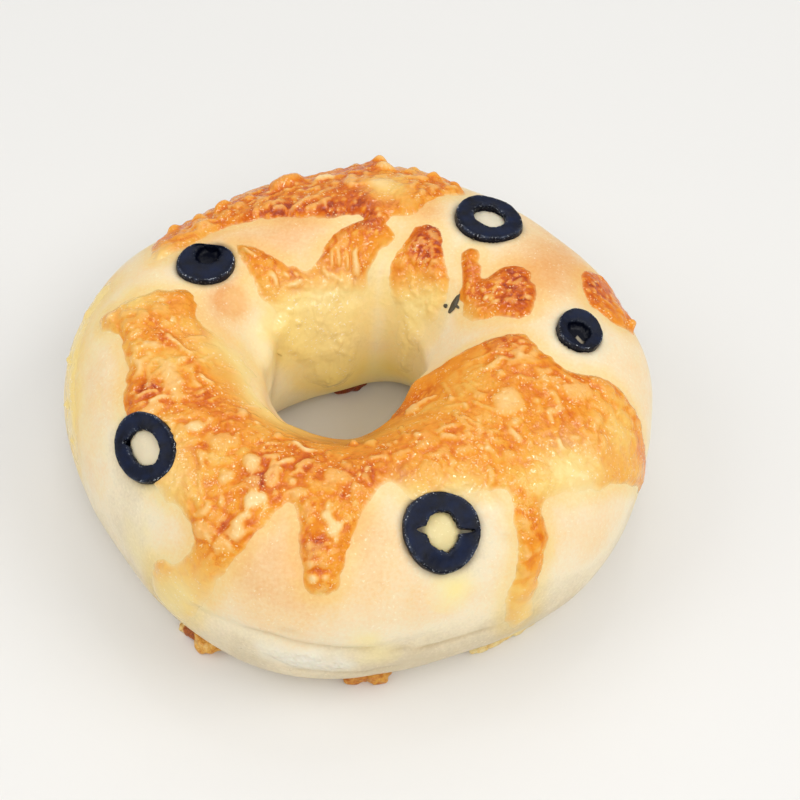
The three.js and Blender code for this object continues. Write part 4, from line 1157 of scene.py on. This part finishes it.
def cheese_sheet(patch, seed):
    """Works out a patch on a grid of places: how high it stands and its colours' fields."""
    around, over, per_degree, depth = patch_grid(patch)
    points = plain_points(around, over).reshape(-1, 3)

    def field(values):
        return values.reshape(depth.shape)

    def swell(size, number):
        return field(noise(points, size, seed + number))

    depth = depth + edge_wander * swell(2.6, 6)
    depth = depth + edge_ripple * swell(1.1, 7)
    clear = np.full(depth.shape, 9.0)
    for part in slices.values():
        share = field(slice_share(points, part, part["size"]))
        clear = np.minimum(clear, (share - 1) * min(part["size"]) / 2 + lap_under_olive)

    # How toasted and how thin it is, and how lively its relief: calmer in the hole and low on the flank
    yellow = np.clip(field(spots_field(points, patch.get("yellow", []))), 0, 1)
    toast = patch["toast"] + 0.2 * swell(8, 1) + 0.1 * swell(3, 2)
    toast = toast + spot_toast * field(spots_field(points, patch["toasted"])) - yellow_cools * yellow
    toast = np.clip(toast - edge_toast * (1 - smooth(depth, 0.3, 1.8)), 0, 0.9)
    calm_from = patch.get("calm", usual_calm_from)
    calm = calmness * smooth(over, calm_from, calm_from + calm_span)
    if "calm" not in patch:
        calm = calm * (1 - smooth(yellow, 0.2, 0.7))
    lively = (1 - calm) * (0.25 + 0.75 * smooth(over, -5, 34))

    # Plates, grains and crisp grains, each with a flat top and a soft edge
    curdy = smooth(swell(8, 5), -0.9, 0.2) * (1 - 0.55 * yellow)
    uneven = swirled(swirled(points, 1.4, 3.6, seed + 20), 0.5, 1.3, seed + 24)
    plate_edge, plate = [field(values) for values in cells(uneven, plate_size, seed + 28)]
    grain_edge, grain = [field(values) for values in cells(uneven, grain_size, seed + 29)]
    crisp_edge, crisp = [field(values) for values in cells(uneven, toasted_grain_size, seed + 30)]
    platy = curdy * patch.get("plates", 1)
    plates = smooth(plate_edge, 0, 0.45) * (0.3 + 0.7 * smooth(plate, 0.2, 1)) * platy
    grains = smooth(grain_edge, 0, 0.4) * smooth(grain, 0.35, 1) * (0.1 + 0.9 * curdy)
    crisps = smooth(crisp_edge, 0, 0.3) * smooth(crisp, 0.1, 0.9) * smooth(toast, 0.5, 0.75)
    toast = toast - crisp_cools * crisps
    waviness = 0.12 + 0.14 * yellow
    stand = plate_height * plates + grain_height * grains + toasted_grain_height * crisps
    tone = 0.6 * smooth(plate, 0.3, 1) * smooth(plate_edge, 0.05, 0.35) * platy
    sheet = {
        "around": around,
        "over": over,
        "per_degree": per_degree,
        "sway": [swell(1.7, 8 + k) for k in (0, 1)],
        "lumps": swell(0.9, 3),
        "height": (waviness * (1 + swell(3.4, 4)) + stand) * lively,
        "pale": np.maximum(tone, 0.55 * np.maximum(grains, crisps)) * lively,
    }
    area = per_degree[0] * cell_around * per_degree[1] * cell_over * (depth > 0.4)
    lay_shreds_and_curds(sheet, patch, area * (0.1 + curdy) * lively**2, seed)

    # Creases between the pieces, knobs, and an edge that thins out
    height = blur(sheet["height"], 1)
    crease = np.clip((blur(height, 3) - height) / 0.05, 0, 1)
    hollow = np.clip((blur(height, 12) - height) / 0.25, 0, 1)
    wrinkles = 1 - 2 * np.abs(swell(1.1, 10))
    height = height + wrinkle_height * wrinkles * lively
    knobs = [(*place, knob_radius, rise) for *place, rise in patch.get("knobs", [])]
    height = height + field(spots_field(points, knobs))
    edge = smooth(depth, 0, rim_width + 2 * yellow)
    fade = 0.8 + 0.4 * swell(5, 12) + 3.4 * yellow
    height = height * (0.4 + 0.6 * smooth(depth, 0.4, 3))
    height = (patch["film"] * (1 - 0.55 * yellow) + height) * edge - 0.1 * (1 - edge)
    return {
        "around": around, "over": over, "depth": depth, "height": height + field(crust_swell(points)),
        "toast": toast, "pale": blur(sheet["pale"], 1) * edge, "crease": crease, "hollow": hollow,
        "thin": yellow, "cover": smooth((depth - 0.1) / fade, 0, 1), "clear": clear,
        "lively": lively,
    }


def cheese_paint():
    paint = Paint("melted cheese")
    fine = paint.speckle(0.5, 2)
    soft = paint.speckle(2.4, 2)
    ripple = paint.speckle(0.9, 1)
    curl = paint.speckle(1.9, 2)
    line = 1 - paint.rise(curl.math("ABSOLUTE", curl - 0.5), 0, 0.03)
    line = line * paint.rise(paint.speckle(4.5, 1), 0.5, 0.6) * paint.field("lively")
    pale, thin, crease = [paint.field(name) for name in ("pale", "thin", "crease")]
    toast = paint.field("toast") + (fine - 0.5) * 0.12 + (soft - 0.5) * 0.34 + line * 0.12
    toast = toast + crease * 0.1 + paint.field("hollow") * 0.1 - pale * 0.2
    stops = [
        (0.02, melted_yellow), (0.25, melted_gold), (0.48, melted_orange), (0.68, deep_orange),
        (0.87, browned_red), (1, browned_dark),
    ]
    colour = paint.ramp(toast.clamped(), stops)
    curd = paint.mix(paint.rise(pale, 0.5, 1), curd_peach, curd_cream)
    curd_share = paint.rise(pale + (soft - 0.5) * 0.35 - crease * 0.2, 0.12, 0.85)
    colour = paint.mix(curd_share, colour, curd)
    crust = crust_colour(paint)
    clear_film = paint.mix(0.9 - thin * 0.5, crust, clear_yellow)
    colour = paint.mix((thin * 1.1 - pale * 0.3 + (soft - 0.5) * thin).clamped(), colour, clear_film)
    # Small pale specks of fat, which also stand in as painted glints on the cheese.
    grains = paint.rise(paint.speckle(0.42, 0), 0.68, 0.74) * paint.rise(paint.speckle(2.9, 1), 0.45, 0.6)
    colour = paint.mix(grains * 0.8, colour, paint.mix(thin, curd_cream, blister_and_glint_cream))
    colour = paint.mix(paint.field("cover"), crust, colour)
    height = (ripple * 0.4 + paint.speckle(2.2, 1) * 0.9 - line * 0.05) * (1 - thin * 0.7)
    height = height * paint.field("lively")
    paint.finish(
        Base_Color=colour,
        Roughness=(0.17 + (soft - 0.5) * 0.2 + crease * 0.1).clamped(),
        Normal=paint.bump(height, 0.8, 0.7),
        Specular_IOR_Level=0.25,
    )
    return paint


def stain_crust(sheet):
    """Cheese oil soaks the crust round a patch: raises the bread's "oil" near it."""
    distance = sheet["depth"]
    rows, columns = distance.shape
    row = np.rint((bread_over_signed - sheet["over"][0, 0]) / cell_over).astype(int)
    for whole_turn in (0, 360):
        column = np.rint((bread_around + whole_turn - sheet["around"][0, 0]) / cell_around).astype(int)
        met = (row >= 0) & (row < rows) & (column >= 0) & (column < columns)
        near = np.exp(-((np.maximum(-distance[row[met], column[met]], 0) / oil_reach) ** 2))
        bread_oil[met] = np.maximum(bread_oil[met], near)


def melted_patch(name, patch, seed, paint):
    """Makes one patch: a grid cut to its outline, given a wall by extrusion and laid on the bread."""
    sheet = cheese_sheet(patch, seed)
    stain_crust(sheet)
    rows, columns = sheet["around"].shape
    bm = bmesh.new()
    bmesh.ops.create_grid(bm, x_segments=columns - 1, y_segments=rows - 1, size=0.5)
    spots = np.array([v.co for v in bm.verts])[:, :2] + 0.5
    column = np.rint(spots[:, 0] * (columns - 1)).astype(int)
    row = np.rint(spots[:, 1] * (rows - 1)).astype(int)
    for layer in ("order", "is_top"):
        bm.verts.layers.int.new(layer)
    order, is_top = [bm.verts.layers.int[layer] for layer in ("order", "is_top")]
    room = np.minimum(sheet["depth"] + 0.1, sheet["clear"])[row, column]
    outside = []
    for k, vertex in enumerate(bm.verts):
        vertex[order] = row[k] * columns + column[k]
        if room[k] < 0:
            outside.append(vertex)
    bmesh.ops.delete(bm, geom=outside, context="VERTS")
    bmesh.ops.delete(bm, geom=[vertex for vertex in bm.verts if not vertex.link_faces], context="VERTS")
    extruded = bmesh.ops.extrude_face_region(bm, geom=bm.faces[:])
    for part in extruded["geom"]:
        if isinstance(part, bmesh.types.BMVert):
            part[is_top] = 1
    number = np.array([vertex[order] for vertex in bm.verts])
    on_top = np.array([vertex[is_top] for vertex in bm.verts]) == 1
    bm.verts.layers.int.remove(order)
    bm.verts.layers.int.remove(bm.verts.layers.int["is_top"])
    values = {key: grid.ravel()[number] for key, grid in sheet.items()}
    lift = np.where(on_top, values["height"], -under_bread)
    points = bread_points(values["around"], values["over"], lift)
    fields = {key: values[key] for key in sheet_fields}
    fields |= crust_fields(points, values["around"], values["over"])
    fields |= {"oil": np.ones(len(points)), "stain": np.zeros(len(points))}
    piece = new_piece(name + "_melt", bm, points, fields, paint)
    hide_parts(name)


cheese_material = cheese_paint()
bread_over_signed = np.where(bread_over > 270, bread_over - 360, bread_over)
bread_oil = np.zeros(len(bread_around))
for number, (name, patch) in enumerate(cheese_patches.items()):
    melted_patch(name, patch, 100 + 20 * number, cheese_material)
oil = bread.data.attributes.new("oil", "FLOAT", "POINT")
oil.data.foreach_set("value", bread_oil.astype(np.float32))


# Crumbs. Cheese that ran down to the tray and crisped there into little browned lumps, baked onto the
# foot of the ring.

# Where each lies, around and from the middle, its size along, outward and up, and how brown it is
crumbs = [
    (238.2, 50.4, (5.8, 4.8, 3.4), 0.42), (234, 49.6, (3.2, 3.8, 3), 0.8),
    (231.8, 50, (2.2, 2.4, 1.8), 0.25), (271, 49.5, (5.2, 4.2, 3), 0.6),
    (275.2, 49.8, (4.8, 4.4, 2.8), 0.5), (94, 18.6, (7.4, 4.6, 3.2), 1),
    (298.5, 49.4, (4.6, 2.4, 1.3), 0.1), (303, 49.6, (6, 2.6, 1.5), 0.12),
    (308.5, 50, (6, 2.8, 1.7), 0.05), (314, 50, (5, 2.4, 1.6), 0.02),
]
crumb_pale = srgb(236, 214, 150)
crumb_gold = srgb(228, 168, 72)
crumb_brown = srgb(188, 102, 32)
crumb_dark = srgb(120, 48, 16)


def many_balls(count, subdivisions):
    """A bmesh of equal balls on one spot, and the points of one of them."""
    bm = bmesh.new()
    bmesh.ops.create_icosphere(bm, subdivisions=subdivisions, radius=1)
    ball = np.array([v.co for v in bm.verts])
    one = bm.verts[:] + bm.edges[:] + bm.faces[:]
    for _ in range(count - 1):
        bmesh.ops.duplicate(bm, geom=one)
    return bm, ball


def crumb_paint():
    paint = Paint("crisped cheese")
    grain = paint.speckle(0.5, 3, 0.6)
    brown = paint.field("brown") + (grain - 0.5) * 0.6 + (paint.speckle(1.4, 1) - 0.5) * 0.5
    stops = [(0.08, crumb_pale), (0.38, crumb_gold), (0.7, crumb_brown), (1, crumb_dark)]
    paint.finish(
        Base_Color=paint.ramp(brown.clamped(), stops),
        Roughness=(0.2 + grain * 0.3).clamped(),
        Normal=paint.bump(grain + paint.speckle(1.1, 1), 0.5, 0.8),
        Specular_IOR_Level=0.4,
    )
    return paint


def make_crumbs(paint):
    bm, ball = many_balls(len(crumbs), 5)
    points, brownness = [], []
    for number, (around, radius, size, brown) in enumerate(crumbs):
        rough = 1 + 0.14 * np.sin(5 * ball[:, 0] + around) * np.cos(4 * ball[:, 1] + 3 * ball[:, 2])
        rough = rough + 0.2 * noise(ball, 0.7, 300 + number) + 0.07 * noise(ball, 0.3, 310 + number)
        turn = math.radians(around)
        outward = radius + ball[:, 0] * size[1] * rough / 2
        along = ball[:, 1] * size[0] * rough / 2
        height = np.maximum(0, (ball[:, 2] * rough + 0.9) * size[2] / 1.9)
        x = outward * math.cos(turn) - along * math.sin(turn)
        y = outward * math.sin(turn) + along * math.cos(turn)
        points.append(np.stack([x, y, height], -1))
        brownness.append(np.full(len(ball), brown))
    fields = {"brown": np.concatenate(brownness)}
    piece = new_piece("browned_crumbs", bm, np.concatenate(points), fields, paint)
    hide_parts("bread")


make_crumbs(crumb_paint())


# Herb flecks. Dark scraps of dried herb and of olive skin, stuck in the melted cheese and on the crust
# before it went into the oven.

# The place of each, its length, width and turn
flecks = [
    (31, 131, 3.8, 1.3, 112), (29, 130.5, 1.4, 0.6, 20), (34.5, 136, 0.9, 0.8, 0),
    (303, 3.5, 0.6, 0.5, 0), (343, 76, 0.5, 0.4, 0), (46, 96, 0.5, 0.4, 0),
]
fleck_thickness = 0.35
fleck_lift = 0.15
fleck_dark = srgb(38, 34, 22)
fleck_grey = srgb(92, 82, 52)


def herb_flecks():
    paint = Paint("dried herb")
    paint.finish(
        Base_Color=paint.mix(paint.speckle(0.7, 2), fleck_dark, fleck_grey),
        Roughness=(0.4 + paint.speckle(0.4, 1) * 0.3).clamped(),
        Normal=paint.bump(paint.speckle(0.25, 2), 0.1),
    )
    bm, ball = many_balls(len(flecks), 4)
    points = []
    for number, (around, over, length, width, turn) in enumerate(flecks):
        centre, along, across, out = place_frame((around, over), fleck_lift)
        angle = math.radians(turn)
        main = along * math.cos(angle) + across * math.sin(angle)
        side = np.cross(out, main)
        rough = (1 + 0.3 * noise(ball, 0.6, 400 + number))[:, None]
        scaled = ball * rough * (length / 2, width / 2, fleck_thickness / 2)
        points.append(centre + scaled @ np.stack([main, side, out]))
    piece = new_piece("herb_flecks", bm, np.concatenate(points), {}, paint)


herb_flecks()


# Floor and light. A plain pale floor, broad soft lights on all four sides and an even room; small lamps
# among them only give the melted cheese its glints.
floor_half = 1.2
floor_cloud = 240
floor_grey = srgb(229, 227, 223)
floor_pale = srgb(233, 231, 227)
room_white = (0.98, 0.99, 1, 1)
room_light = 0.56

# Name, place in metres, size across and watts of each
lights = [
    ("front fill", (0.1, -0.78, 0.88), 0.7, 3.6), ("right fill", (0.85, -0.15, 0.87), 0.8, 4.3),
    ("left fill", (-0.85, -0.1, 0.87), 0.8, 2.9), ("back fill", (0, 0.8, 0.9), 0.8, 1.4),
]
lamp_size = 0.05
lamps = [
    ("left lamp", (-0.5, 0.2, 0.85), 2), ("front lamp", (0.1, -0.5, 0.95), 2),
    ("right lamp", (0.55, 0.05, 0.9), 1.8), ("back lamp", (0.1, 0.4, 0.95), 1.7),
    ("low lamp", (-0.35, -0.75, 0.7), 1.6),
]


def pale_floor():
    bm = bmesh.new()
    bmesh.ops.create_grid(bm, x_segments=1, y_segments=1, size=floor_half)
    mesh = bpy.data.meshes.new("floor")
    bm.to_mesh(mesh)
    bm.free()
    floor = bpy.data.objects.new("floor", mesh)
    scene.collection.objects.link(floor)
    paint = Paint("pale floor")
    cloud = paint.speckle(floor_cloud, 1)
    paint.finish(Base_Color=paint.mix(cloud, floor_grey, floor_pale), Roughness=0.6)
    mesh.materials.append(paint.material)


def soft_light(name, place, size, watts, only_glints=False):
    """A round light at a place, turned to the bagel; one for glints lights no surface by itself."""
    data = bpy.data.lights.new(name, "AREA")
    data.shape = "DISK"
    data.size = size
    data.energy = watts
    light = bpy.data.objects.new(name, data)
    scene.collection.objects.link(light)
    light.location = place
    light.rotation_mode = "QUATERNION"
    light.rotation_quaternion = (-Vector(place)).to_track_quat("-Z", "Y")
    light.visible_diffuse = not only_glints


pale_floor()
for name, place, size, watts in lights:
    soft_light(name, place, size, watts)
for name, place, watts in lamps:
    soft_light(name, place, lamp_size, watts, only_glints=True)
world = bpy.data.worlds.new("bright room")
world.use_nodes = True
background = world.node_tree.nodes["Background"].inputs
background["Color"].default_value = room_white
background["Strength"].default_value = room_light
scene.world = world
scene.view_settings.view_transform = "Standard"
